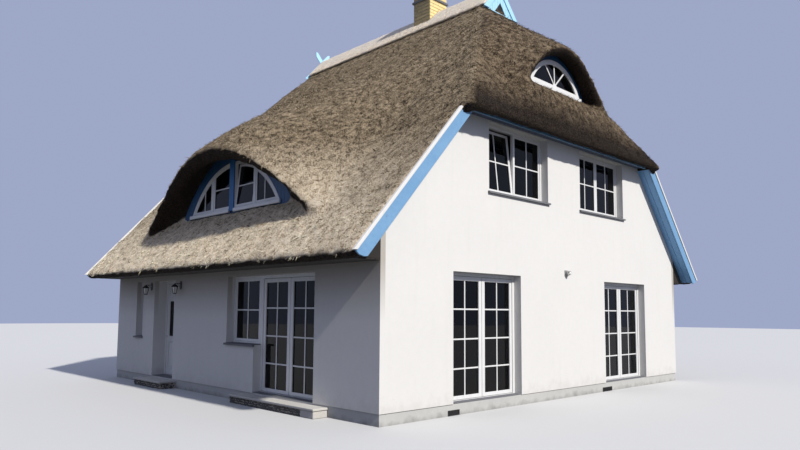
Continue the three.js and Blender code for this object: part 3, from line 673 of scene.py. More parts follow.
@dataclass(frozen=True)
class WindowGlass(Finish):
    """Float glass, thin and slightly wavy, tinted almost black as painted shade for the dim room behind it.
    """

    # Painted shade: a near-black tint stands in for the dark room seen through the pane.
    colour: Colour = (0.014, 0.015, 0.017)

    def shade(self, graph: Graph) -> Node:
        """A dark pane with a faint film on it."""
        film = graph.noise(graph.place(), 1.7)
        rough = graph.spread(film, 0.3, 0.8, (0.01, 0.04))
        wave = graph.bump(graph.noise(graph.place(), 2.6, 1.0), 0.002, 0.2)
        base = graph.mix(film, self.colour, scaled(self.colour, 0.6))
        return self.shader(graph, base, rough, wave, Transmission_Weight=0.9, IOR=1.28,
                           Specular_IOR_Level=0.1)


@dataclass(frozen=True)
class MilkGlass(Finish):
    """Frosted lamp glass."""

    colour: Colour = (0.86, 0.86, 0.82)

    def shade(self, graph: Graph) -> Node:
        """A milky body with faint rings of dust."""
        tone = graph.tone(12.0, 60.0)
        base = graph.mix(graph.spread(tone, 0, 1, (0.0, 0.3)), self.colour, scaled(self.colour, 0.75))
        rough = graph.spread(tone, 0, 1, (0.3, 0.5))
        return self.shader(graph, base, rough, Transmission_Weight=0.25, IOR=1.45)


@dataclass(frozen=True)
class Metal(Finish):
    """Metal, painted or bare, with worn and dusty patches."""

    colour: Colour
    worn: Colour
    metallic: float
    rough: float

    def shade(self, graph: Graph) -> Node:
        """Worn patches and a fine hammered surface."""
        tone = graph.tone(14.0, 90.0)
        base = graph.mix(graph.spread(tone, 0.4, 1.0, (0.0, 0.6)), self.colour, self.worn)
        rough = graph.spread(tone, 0, 1, (self.rough, self.rough + 0.2))
        return self.shader(graph, base, rough, graph.bump(tone, 0.0008, 0.5), Metallic=self.metallic)


@dataclass(frozen=True)
class CastStone(Finish):
    """Cast slabs and natural sills, with pores, a speckle and damp patches."""

    colour: Colour
    speck: Colour
    pores: float = 90.0

    def shade(self, graph: Graph) -> Node:
        """Speckle, mottled damp and pores."""
        tone = graph.spread(graph.tone(2.4, 26.0, 0.55), 0.1, 1.0, (0.0, 0.6))
        pore = graph.noise(graph.place(), self.pores, 4.0, 0.75)
        base = graph.mix(tone, self.colour, scaled(self.colour, 0.72))
        base = graph.mix(graph.spread(pore, 0.52, 0.68, (0.0, 0.7)), base, self.speck)
        return self.shader(graph, base, 0.85, graph.bump(pore, 0.003, 0.6))


@dataclass(frozen=True)
class StudioFloor(Finish):
    """A pale seamless floor that throws little of its light back on the walls."""

    colour: Colour = (0.52, 0.52, 0.51)
    returned: float = 0.12

    def shade(self, graph: Graph) -> Node:
        """Almost even, with a slow drift of tone."""
        drift = graph.spread(graph.tone(0.12, 3.0, 0.3), 0, 1, (0.0, 0.1))
        seen = self.shader(graph, graph.mix(drift, self.colour, scaled(self.colour, 0.9)), 0.9)
        dim = self.shader(graph, scaled(self.colour, self.returned), 0.9)
        thrown = graph.add("LightPath").outputs["Is Diffuse Ray"]
        return graph.add("MixShader", {0: thrown, 1: seen.outputs[0], 2: dim.outputs[0]})


WALL_RENDER = LimeRender("white_wall_render", (0.62, 0.61, 0.585), (0.565, 0.56, 0.54), (0.33, 0.30, 0.255),
                         0.16, 0.4, 0.3)
SLAB = SlabAndFloor("cement_plinth", (0.46, 0.455, 0.43), (0.34, 0.34, 0.335), (0.13, 0.125, 0.11),
                    0.0, 0.14, 0.7)
FLOOR = FloorBoards("pine_floor", (0.30, 0.18, 0.09))
REED = Thatch("weathered_reed")
REED_TIPS = Thatch("reed_tips", 64.0, 1.22)
STRAW = RidgeStraw("ridge_straw")
BRICK = BrickFace("yellow_brick", (0.82, 0.65, 0.29), (0.66, 0.51, 0.24))
MORTAR = CastStone("lime_mortar", (0.50, 0.45, 0.36), (0.30, 0.27, 0.22), 160.0)
SKY_BLUE = BoardPaint("sky_blue_paint", (0.135, 0.280, 0.46), (0.185, 0.34, 0.52), (3.0, 3.0, 3.0))
SLOPED_BLUE = BoardPaint("sloped_blue_paint", (0.165, 0.375, 0.66), (0.22, 0.44, 0.72), (3.0, 3.0, 3.0))
# Painted shade: the boards inside the dormer's and the hoods' mouths are a much darker blue than the post.
SHADE_DARK_BLUE = BoardPaint("shade_dark_blue_paint", (0.006, 0.050, 0.130), (0.012, 0.070, 0.165), (14.0, 14.0, 0.7))
POST_BLUE = BoardPaint("post_blue_paint", (0.006, 0.095, 0.27), (0.016, 0.125, 0.32), (14.0, 14.0, 0.7))
NAVY = BoardPaint("navy_paint", (0.016, 0.028, 0.055), (0.035, 0.055, 0.10), (0.6, 9.0, 9.0))
# Painted shade: near-black boards under the long eaves, where their shade falls.
SHADE_BLACK = BoardPaint("near_black_shade_boards", (0.010, 0.008, 0.006), (0.022, 0.018, 0.014), (9.0, 0.6, 9.0), 0.82)
# Painted shadow: a black board fills the gablets' holes, where the dark inside the roof would show.
SHADOW_BLACK = BoardPaint("painted_shadow_board", (0.006, 0.006, 0.008), (0.012, 0.012, 0.014),
                         (9.0, 9.0, 0.6), 0.8)
PALE_BLUE = BoardPaint("pale_blue_paint", (0.34, 0.62, 0.82), (0.46, 0.72, 0.88), (14.0, 14.0, 0.7))
WHITE = Lacquer("white_joinery", (0.64, 0.64, 0.63), (0.47, 0.46, 0.44))
CREAM = Lacquer("white_board_edge", (0.66, 0.65, 0.62), (0.47, 0.45, 0.38), 0.4)
GLASS = WindowGlass("window_glass")
MILK = MilkGlass("lamp_glass")
RUBBER = Metal("black_seal", (0.012, 0.012, 0.013), (0.03, 0.03, 0.03), 0.0, 0.6)
IRON = Metal("black_iron", (0.018, 0.018, 0.02), (0.07, 0.065, 0.06), 0.35, 0.42)
GREY_METAL = Metal("grey_lamp_body", (0.30, 0.30, 0.29), (0.18, 0.18, 0.17), 0.2, 0.45)
STEEL = Metal("brushed_steel", (0.50, 0.50, 0.50), (0.36, 0.36, 0.36), 1.0, 0.25)
SILL = CastStone("slate_sill", (0.13, 0.135, 0.145), (0.20, 0.20, 0.21), 140.0)
SLAB_STONE = CastStone("pale_slab", (0.52, 0.50, 0.46), (0.34, 0.32, 0.29))
PEBBLE = CastStone("dark_pebble", (0.085, 0.08, 0.075), (0.26, 0.25, 0.23), 60.0)


def dress(node: str, finish: Finish) -> None:
    """Give a solid that stays in view its finish."""
    data = frame["nodes"][node].data
    data.materials.clear()
    data.materials.append(finish.material())
    LOG.info("%s is finished in %s", node, finish.name)


class Piece:
    """Closed bodies gathered into one named mesh, each body with its own finish.

    Sizes are given in the piece's own frame, and matrix moves that frame to the house's.
    """

    def __init__(self, name: str, matrix: Matrix | None = None) -> None:
        """Start an empty piece."""
        self.name = name
        self.matrix = matrix or Matrix.Identity(4)
        self.points: list[Array] = []
        self.faces: list[tuple[int, ...]] = []
        self.indices: list[int] = []
        self.smooth: list[bool] = []
        self.finishes: list[Finish] = []
        self.count = 0

    @contextmanager
    def moved(self, move: Matrix) -> Iterator[None]:
        """Draw for a while in a frame that is moved within the piece's own."""
        straight = self.matrix
        self.matrix = straight @ move
        yield
        self.matrix = straight

    def body(self, points: Sequence, faces: Iterable[Sequence[int]], finish: Finish,
             smooth: bool = False) -> None:
        """Add one closed body.

        Args:
            points: its corners in the piece's frame.
            faces: its faces, each a row of corners seen anticlockwise from outside.
            finish: what it is finished with.
            smooth: True where its faces blend into each other.
        """
        if finish not in self.finishes:
            self.finishes.append(finish)
        move = np.array(self.matrix)
        self.points.append(np.array(points) @ move[:3, :3].T + move[:3, 3])
        for face in faces:
            self.faces.append(tuple(int(i) + self.count for i in face))
            self.indices.append(self.finishes.index(finish))
            self.smooth.append(smooth)
        self.count += len(points)

    def box(self, low: Sequence[float], high: Sequence[float], finish: Finish,
            chamfer: float = THIN_EDGE) -> None:
        """Add a squared bar or block with its edges taken off."""
        size = min(b - a for a, b in zip(low, high))
        edge = min(chamfer, 0.3 * size)
        points = []
        for corner in range(8):
            signs = [corner >> 2 & 1, corner >> 1 & 1, corner & 1]
            for axis in range(3):
                point = [(low[k] + edge, high[k] - edge)[signs[k]] for k in range(3)]
                point[axis] = (low[axis], high[axis])[signs[axis]]
                points.append(point)
        self.body(points, BLOCK_FACES, finish)

    def prism(self, outline: Outline, depths: Point, finish: Finish, holes: Sequence[Outline] = (),
              plane: Plane = Plane.ELEVATION, chamfer: float = THIN_EDGE) -> None:
        """Carry an outline from one depth to another, with chamfered edges.

        Args:
            outline: the outer edge.
            depths: where the body starts and ends across its outline.
            finish: what it is finished with.
            holes: outlines cut right through.
            plane: the axes that the outline lies in.
            chamfer: how much is taken off each edge.
        """
        loops = [turned(outline, True), *(turned(hole, False) for hole in holes)]
        start, end = depths
        layers = [(start, chamfer), (start + chamfer, 0.0), (end - chamfer, 0.0), (end, chamfer)]
        points = []
        for depth, taken in layers:
            for loop in loops:
                points += [plane.place(a, b, depth) for a, b in (inset(loop, taken) if taken else loop)]
        total = sum(len(loop) for loop in loops)
        faces = []
        for layer in range(len(layers) - 1):
            first = layer * total
            for loop in loops:
                ring = range(len(loop))
                faces += [(first + i, first + (i + 1) % len(loop), first + total + (i + 1) % len(loop),
                           first + total + i) for i in ring]
                first += len(loop)
        faces += self.caps([inset(loop, chamfer) for loop in loops], 3 * total)
        if plane.mirrors:
            faces = [face[::-1] for face in faces]
        self.body(points, faces, finish)

    @staticmethod
    def caps(loops: list[Outline], last: int) -> list[tuple[int, ...]]:
        """The faces that close a prism's two ends.

        Args:
            loops: the outer outline and its holes.
            last: the number of the first corner in the last layer.

        Returns:
            Triangles for the first and the last layer.
        """
        flat = [point for loop in loops for point in loop]
        faces = []
        for a, b, c in tessellate_polygon([[Vector((*point, 0.0)) for point in loop] for loop in loops]):
            p, q, r = flat[a], flat[b], flat[c]
            twice = (q[0] - p[0]) * (r[1] - p[1]) - (r[0] - p[0]) * (q[1] - p[1])
            if twice < 0:
                b, c = c, b
            faces += [(c, b, a), (last + a, last + b, last + c)]
        return faces

    def lathe(self, profile: Sequence[Point], centre: Point, finish: Finish,
              plane: Plane = Plane.ELEVATION, steps: int = 16, smooth: bool = True) -> None:
        """Turn a profile of radii and depths about an axis through centre, from axis to axis."""
        points, rings = [], []
        for radius, depth in profile:
            around = steps if radius > 0 else 1
            rings.append((len(points), around))
            for i in range(around):
                angle = 2 * math.pi * (i + 0.5) / steps
                a, b = centre[0] + radius * math.cos(angle), centre[1] + radius * math.sin(angle)
                points.append(plane.place(a, b, depth))
        faces = []
        for (first, here), (second, there) in zip(rings, rings[1:]):
            for i in range(steps):
                j = (i + 1) % steps
                corners = (first + i % here, first + j % here, second + j % there, second + i % there)
                faces.append(tuple(dict.fromkeys(corners)))
        if plane.mirrors:
            faces = [face[::-1] for face in faces]
        self.body(points, faces, finish, smooth)

    def done(self, slot: str, replaces: Sequence[str] = (), body: str = HOUSE) -> Object:
        """Make the mesh, and let it ride and stand for its solids.

        Args:
            slot: not used.
            replaces: the solids that it stands for.
            body: the body that it moves with.

        Returns:
            The new object.
        """
        mesh = bpy.data.meshes.new(self.name)
        mesh.from_pydata(np.concatenate(self.points).tolist(), [], self.faces)
        for finish in self.finishes:
            mesh.materials.append(finish.material())
        mesh.polygons.foreach_set("material_index", self.indices)
        mesh.polygons.foreach_set("use_smooth", self.smooth)
        return settle(placed(self.name, mesh), slot, replaces, body)


SQUARE = ((0, 0), (1, 0), (1, 1), (0, 1))


def block_faces() -> list[tuple[int, ...]]:
    """The faces of a block with chamfered edges, three corners to each corner of the block."""
    faces = []
    for axis in range(3):
        u, v = (axis + 1) % 3, (axis + 2) % 3
        step, step_u, step_v = (3 * (4 >> k) for k in (axis, u, v))
        for side in (0, 1):
            ring = tuple(side * step + a * step_u + b * step_v + axis for a, b in SQUARE)
            faces.append(ring if side else ring[::-1])
        for a, b in SQUARE:
            near = a * step_u + b * step_v
            ring = (near + u, near + step + u, near + step + v, near + v)
            faces.append(ring if a != b else ring[::-1])
    for corner in range(8):
        ring = (3 * corner, 3 * corner + 1, 3 * corner + 2)
        faces.append(ring if corner.bit_count() % 2 else ring[::-1])
    return faces


BLOCK_FACES = block_faces()


def apply_modifiers(piece: Object, finish: Finish) -> None:
    """Turn an object's modifiers into its mesh, in one finish and shaded smoothly."""
    graph = bpy.context.evaluated_depsgraph_get()
    mesh = bpy.data.meshes.new_from_object(piece.evaluated_get(graph))
    piece.modifiers.clear()
    piece.data = mesh
    mesh.materials.clear()
    mesh.materials.append(finish.material())
    mesh.polygons.foreach_set("use_smooth", [True] * len(mesh.polygons))


def round_off(piece: Object, voxel: float, rounds: int, finish: Finish) -> None:
    """Close an object's joints, round its edges and give it its finish."""
    closed = piece.modifiers.new("close", "REMESH")
    closed.mode = "VOXEL"
    closed.voxel_size = voxel
    soft = piece.modifiers.new("soften", "SMOOTH")
    soft.iterations = rounds
    apply_modifiers(piece, finish)


def corners_of(mesh: Mesh) -> tuple[Array, Array]:
    """A mesh's corners and their normals."""
    points, normals = np.empty(len(mesh.vertices) * 3), np.empty(len(mesh.vertices) * 3)
    mesh.vertices.foreach_get("co", points)
    mesh.vertices.foreach_get("normal", normals)
    return points.reshape(-1, 3), normals.reshape(-1, 3)


def unit(rows: Array, least: float = 1e-12) -> Array:
    """Rows of vectors, each brought to length one unless it is shorter than least."""
    return rows / np.maximum(np.linalg.norm(rows, axis=1), least)[:, None]


def clouds(place: Vector, *layers: Point) -> float:
    """A sum of cloudy patterns at a place, each with its scale and its share."""
    return sum(share * noise.noise(place * scale) for scale, share in layers)


def placed(name: str, data: bpy.types.ID) -> Object:
    """A new object in the scene, made of some data."""
    made = bpy.data.objects.new(name, data)
    bpy.context.scene.collection.objects.link(made)
    return made


def settle(piece: Object, slot: str, replaces: Sequence[str] = (), body: str = HOUSE) -> Object:
    """Tie a finished object to its body and hide the solids that it stands for."""
    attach(piece, body)
    if replaces:
        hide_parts(*replaces)
    LOG.info("%s: %d faces on %s", piece.name, len(piece.data.polygons), body)
    return piece


@dataclass
class Masonry:
    """The rendered walls on their plinth, the floors inside, and the vents at the plinth's foot."""

    vent_foot: float = 0.004
    vent_head: float = 0.09
    vent_rim: float = 0.012
    vent_spans: tuple[Point, ...] = ((-3.505, -3.226), (1.395, 1.783))
    slat_pitch: float = 0.022
    slat_half: float = 0.003
    plinth_inset: float = 0.015

    def build(self) -> None:
        """Finish the solids that stay in view and add the vents."""
        for node in frame["nodes"]:
            if "_wall" in node:
                dress(node, WALL_RENDER)
        dress("foundation_slab", SLAB)
        dress("upper_floor", FLOOR)
        dress("attic_floor", FLOOR)
        self.vents()

    def vents(self) -> None:
        """Two low iron grilles, each a rim with slats over a black backing, which paints the shade behind
        them.
        """
        piece = Piece("plinth_vents", Wall.FRONT.matrix)
        face = self.plinth_inset - SEAT
        rim, foot, head = self.vent_rim, self.vent_foot, self.vent_head
        for a0, a1 in self.vent_spans:
            hole = rectangle(a0 + rim, a1 - rim, foot + rim, head - rim)
            piece.prism(rectangle(a0, a1, foot, head), (face - 0.010, face), IRON, [hole], chamfer=0.002)
            # Painted shade: a black backing fills the space behind the slats.
            piece.box((a0 + foot, face - 0.003, 2 * foot), (a1 - foot, face, head - foot), RUBBER, 0.001)
            count = round((a1 - a0) / self.slat_pitch)
            for i in range(1, count):
                a = a0 + (a1 - a0) * i / count
                piece.box((a - self.slat_half, face - 0.009, rim),
                          (a + self.slat_half, face - 0.001, head - 0.010), IRON, 0.001)
        piece.done("lamp")


@dataclass(frozen=True)
class ReedKind:
    """One kind of reed end: the ranges of its length and half width, and the mean and spread of its rise."""

    length: Point
    half: Point
    rise: Point


@dataclass
class ThatchRoof:
    """The reed coat: one body over all four slopes, rounded at its edges and bristling with reed ends."""

    voxel: float = 0.062
    rounding: int = 5
    lump: float = 0.018
    dent: float = 0.014
    skin: float = 0.09
    thinned: float = 0.95
    dense: float = 430.0
    bundled: float = 0.12
    stalk: ReedKind = ReedKind((0.030, 0.075), (0.004, 0.007), (0.42, 0.2))
    bundle: ReedKind = ReedKind((0.06, 0.12), (0.008, 0.015), (0.26, 0.10))
    sunk: float = 0.012
    least_facing: float = 0.05
    nodes: tuple[str, ...] = ("thatch_left", "thatch_right", "thatch_front", "thatch_back")

    def build(self) -> None:
        """Make the coat, then set reed ends into each slope."""
        coat = self.joined()
        round_off(coat, self.voxel, self.rounding, REED)
        self.roughen(coat.data)
        self.thin_inside(coat)
        settle(coat, "thatch", self.nodes)
        centres, normals, corners, areas = self.triangles(coat.data)
        sides = self.sides(centres)
        weights = areas * ~self.inside(centres, normals) * (normals[:, 2] > self.least_facing)
        tufts = self.tufts(centres)
        for number, name in enumerate(self.nodes):
            chosen = weights * (sides == number)
            self.reeds(name.replace("thatch", "reed_ends"), normals, corners, chosen, chosen * tufts, number)

    def joined(self) -> Object:
        """The four slopes' solids as one object."""
        bm = bmesh.new()
        for node in self.nodes:
            bm.from_mesh(frame["nodes"][node].data)
        bmesh.ops.remove_doubles(bm, verts=bm.verts, dist=1e-5)
        mesh = bpy.data.meshes.new("thatch_coat")
        bm.to_mesh(mesh)
        bm.free()
        return placed("thatch_coat", mesh)

    def inside(self, points: Array, normals: Array) -> Array:
        """Which places lie on the coat's inner face, over the rooms."""
        x, y, z = np.abs(points[:, 0]), np.abs(points[:, 1]), points[:, 2]
        under_slope = RIDGE - THATCH_DROP - PITCH * x
        under_hip = HIP_EAVE_HEIGHT - HIP_DROP + HIP_PITCH * (HIP_EAVE_REACH - y)
        near = np.abs(z - np.minimum(under_slope, under_hip)) < self.skin
        return near & (normals[:, 2] < -0.2) & (x < HALF_WIDTH + 0.1) & (y < HALF_LENGTH + 0.03)

    def roughen(self, mesh: Mesh) -> None:
        """Move the outer face in and out by lumps an arm wide and dents a hand wide."""
        points, normals = corners_of(mesh)
        for i in np.flatnonzero(~self.inside(points, normals)):
            place = Vector(points[i])
            lump, dent = clouds(place, (1.9, 1.0), (5.5, 0.6)), clouds(place, (11.0, 1.0))
            points[i] += normals[i] * (lump * self.lump + dent * self.dent)
        mesh.vertices.foreach_set("co", points.ravel())
        mesh.update()

    def thin_inside(self, coat: Object) -> None:
        """Leave the plain inner face in fewer, larger faces."""
        hidden = self.inside(*corners_of(coat.data))
        coat.vertex_groups.new(name="inner_face").add(np.flatnonzero(hidden).tolist(), 1.0, "REPLACE")
        thin = coat.modifiers.new("thin", "DECIMATE")
        thin.vertex_group = "inner_face"
        thin.ratio = 1.0 - self.thinned * float(hidden.mean())
        apply_modifiers(coat, REED)
        coat.vertex_groups.clear()

    @staticmethod
    def tufts(points: Array) -> Array:
        """How thickly the reed ends stand at each place, in tufts a hand or two wide."""
        stands = [clouds(place, (6.5, 1.0), (2.1, 0.6)) for place in map(Vector, points)]
        return np.clip(0.6 + 1.7 * np.array(stands), 0.12, 1.7)

    @staticmethod
    def triangles(mesh: Mesh) -> tuple[Array, Array, Array, Array]:
        """The coat's triangles.

        Args:
            mesh: the coat.

        Returns:
            Their centres, normals, corners and areas.
        """
        mesh.calc_loop_triangles()
        count = len(mesh.loop_triangles)
        numbers = np.empty(count * 3, dtype=np.int32)
        mesh.loop_triangles.foreach_get("vertices", numbers)
        corners = corners_of(mesh)[0][numbers.reshape(-1, 3)]
        cross = np.cross(corners[:, 1] - corners[:, 0], corners[:, 2] - corners[:, 0])
        return corners.mean(axis=1), unit(cross), corners, np.linalg.norm(cross, axis=1) / 2

    @staticmethod
    def sides(points: Array) -> Array:
        """The number of the slope that each place belongs to: left, right, front or back."""
        x, y = points[:, 0], points[:, 1]
        on_hip = (np.abs(y) > GABLET_PLANE) & (np.abs(x) < (np.abs(y) - HIP_TIP) * HIP_PITCH / PITCH)
        return np.where(on_hip, np.where(y < 0, 2, 3), np.where(x < 0, 0, 1))

    def reeds(self, name: str, normals: Array, corners: Array, areas: Array,
              weights: Array, number: int) -> None:
        """Set short pointed reeds into one slope, leaning down it: single stalks and bundles.

        Args:
            name: the piece's name.
            normals: the normals of the coat's triangles.
            corners: their corners.
            areas: their areas on this slope.
            weights: how many reeds each takes, against the others.
            number: the slope's number, for its own random draws.
        """
        draw = np.random.default_rng(SEED + number)
        count = int(areas.sum() * self.dense)
        picked = draw.choice(len(weights), size=count, p=weights / weights.sum())
        u, v = draw.random((2, count))
        u, v = np.where(u + v > 1, 1 - u, u), np.where(u + v > 1, 1 - v, v)
        a, b, c = (corners[picked, k] for k in range(3))
        foot = a + (b - a) * u[:, None] + (c - a) * v[:, None]
        normal = normals[picked]
        steep = normal[:, 2] < 0.1
        bundled = draw.random(count) < self.bundled
        stalk, bundle = self.stalk, self.bundle
        down = unit(np.array([0.0, 0.0, -1.0]) + normal * normal[:, 2:3], 0.05)
        rise = np.where(bundled, draw.normal(*bundle.rise, count), draw.normal(*stalk.rise, count))
        rise = np.clip(rise, 0.05, 1.0) + 0.5 * steep
        lean = unit(down * 0.9 + normal * rise[:, None] + draw.normal(0.0, 0.3, (count, 3)))
        length = np.where(bundled, draw.uniform(*bundle.length, count), draw.uniform(*stalk.length, count))
        length *= np.where(steep, 0.5, 1.0)
        half = np.where(bundled, draw.uniform(*bundle.half, count), draw.uniform(*stalk.half, count))[:, None]
        across = unit(np.cross(lean, normal + draw.normal(0, 0.2, (count, 3))), 1e-6)
        over = np.cross(across, lean)
        root = foot - normal * self.sunk - lean * self.sunk
        tip = foot + lean * length[:, None]
        points = np.stack((root + across * half, root - across * half, root + over * half * 1.1, tip), axis=1)
        stand_reeds(name, points, REED_TIPS, "thatch")


def stand_reeds(name: str, points: Array, finish: Finish, slot: str) -> None:
    """Make one piece of many slender closed spikes.

    Args:
        name: the piece's name.
        points: three corners of the root and the tip of each spike.
        finish: its finish.
        slot: not used.
    """
    count = len(points)
    root, tip = points[:, :3], points[:, 3:4]
    across = np.cross(root[:, 1] - root[:, 0], root[:, 2] - root[:, 0])
    volume = np.einsum("ij,ij->i", across, tip[:, 0] - root[:, 0])
    points = np.where((volume > 0)[:, None, None], points[:, [1, 0, 2, 3]], points)
    triangles = np.array([(0, 1, 2), (0, 3, 1), (1, 3, 2), (2, 3, 0)])
    faces = (np.arange(count)[:, None, None] * 4 + triangles[None]).reshape(-1, 3)
    mesh = bpy.data.meshes.new(name)
    mesh.from_pydata(points.reshape(-1, 3).tolist(), [], faces.tolist())
    mesh.materials.append(finish.material())
    settle(placed(name, mesh), slot)


@dataclass
class RidgeCap:
    """Bleached straw bent over the ridge, ragged at its lower edges."""

    voxel: float = 0.035
    rounding: int = 3
    strands: int = 7000
    half_span: float = 0.53
    thickness: float = 0.09
    length: Point = (0.06, 0.16)
    half: Point = (0.003, 0.006)
    sunk: float = 0.012

    def build(self) -> None:
        """Round the cap's solid, then lay loose straws along both lower edges."""
        cap = placed("straw_cap", frame["nodes"]["ridge_cap"].data.copy())
        round_off(cap, self.voxel, self.rounding, STRAW)
        for corner in cap.data.vertices:
            ripple = noise.noise(corner.co * Vector((3.0, 9.0, 3.0))) * 0.010
            corner.co += corner.normal * (ripple + noise.noise(corner.co * 24) * 0.004)
        settle(cap, "ridge_cap", ["ridge_cap"])
        self.loose_straw()

    def loose_straw(self) -> None:
        """Thin straws that lie down the cap and stick out past its edge."""
        draw = np.random.default_rng(SEED + 11)
        count = self.strands
        side = np.where(draw.random(count) < 0.5, -1.0, 1.0)
        reach = self.half_span * np.sqrt(draw.uniform(0.05, 1.0, count))
        y = draw.uniform(-GABLET_PLANE + 0.05, GABLET_PLANE - 0.05, count)
        z = RIDGE - PITCH * reach + self.thickness
        slope = np.stack((side, np.zeros(count), np.full(count, -PITCH)), axis=1) / math.hypot(1, PITCH)
        out = np.stack((side * PITCH, np.zeros(count), np.ones(count)), axis=1) / math.hypot(1, PITCH)
        foot = np.stack((side * reach, y, z), axis=1) - out * self.sunk
        lean = unit(slope + out * draw.uniform(0.0, 0.16, count)[:, None] + draw.normal(0, 0.08, (count, 3)))
        across = np.cross(lean, out)
        length = draw.uniform(*self.length, count)[:, None]
        half = draw.uniform(*self.half, count)[:, None]
        points = np.stack((foot + across * half, foot - across * half, foot - out * half * 2,
                           foot + lean * length), axis=1)
        stand_reeds("loose_straw", points, STRAW, "ridge_cap")


@dataclass
class Chimney:
    """A yellow brick stack over a rendered shaft, with a slate course, a stepped head and a cast cap."""

    half_width: float = 0.305
    half_depth: float = 0.272
    middle: float = -1.08
    foot: float = 7.90
    top: float = 9.70
    brick: float = 0.24
    depth: float = 0.115
    joint: float = 0.011
    course: float = 0.0833
    slate_course: Point = (9.21, 9.265)
    head_from: float = 9.51
    head_step: float = 0.040
    core: float = -0.010
    flue: Point = (0.115, 0.112)
    flue_depth: float = 0.6
    cap_height: float = 0.06

    def ring(self, grow: float) -> Outline:
        """The stack's outline on plan, grown by a step."""
        width, depth = self.half_width + grow, self.half_depth + grow
        return rectangle(-width, width, self.middle - depth, self.middle + depth)

    def build(self) -> None:
        """Core, courses, slate course and cap."""
        piece = Piece("brick_chimney")
        flue = rectangle(-self.flue[0], self.flue[0], self.middle - self.flue[1], self.middle + self.flue[1])
        floor, solid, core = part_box("chimney_stack")[0].z, self.top - self.flue_depth, self.ring(self.core)
        piece.prism(self.ring(0.0), (floor, self.foot), WALL_RENDER, plane=Plane.PLAN)
        piece.prism(core, (self.foot, solid), MORTAR, plane=Plane.PLAN)
        piece.prism(core, (solid, self.top), MORTAR, [flue], plane=Plane.PLAN)
        draw = np.random.default_rng(SEED + 21)
        for number in range(int((self.top - self.foot) / self.course)):
            z = self.top - (number + 1) * self.course
            grow = self.head_step if z > self.head_from else 0.0
            self.lay_course(piece, z, grow, number % 2, draw)
        piece.prism(self.ring(0.028), self.slate_course, SILL, [self.ring(-0.006)], Plane.PLAN, 0.006)
        cap = (self.top, self.top + self.cap_height)
        piece.prism(self.ring(0.070), cap, SLAB_STONE, [flue], Plane.PLAN, 0.010)
        piece.done("chimney", ["chimney_stack"])

    def lay_course(self, piece: Piece, z: float, grow: float, turn: int, draw: np.random.Generator) -> None:
        """Lay one course round the stack; each course in turn owns the corners of the other faces.

        Args:
            piece: the piece to add to.
            z: the course's foot.
            grow: how far it stands out past the stack.
            turn: 1 where the side faces own the corners, and 0 where the front and back do.
            draw: the random draws for how far each brick stands out.
        """
        width, depth = self.half_width + grow, self.half_depth + grow
        butt = self.depth + self.joint
        short, long = (width - butt, depth) if turn else (width, depth - butt)
        high = z + self.course - self.joint
        for side in (-1, 1):
            for start, end in self.split(-short, short):
                y0, y1 = self.bedded(side, depth, draw)
                piece.box((start, self.middle + y0, z), (end, self.middle + y1, high), BRICK, 0.005)
            for start, end in self.split(-long, long):
                x0, x1 = self.bedded(side, width, draw)
                piece.box((x0, self.middle + start, z), (x1, self.middle + end, high), BRICK, 0.005)

    def bedded(self, side: int, reach: float, draw: np.random.Generator) -> list[float]:
        """The back and face of a brick laid on one side of the stack, a little in or out."""
        return sorted((side * reach + draw.uniform(-0.0015, 0.0015), side * (reach - self.depth)))

    def split(self, start: float, end: float) -> list[Point]:
        """The bricks that fill a run, with a joint between each two."""
        count = max(1, round((end - start + self.joint) / (self.brick + self.joint)))
        step = (end - start + self.joint) / count
        return [(start + i * step, start + (i + 1) * step - self.joint) for i in range(count)]


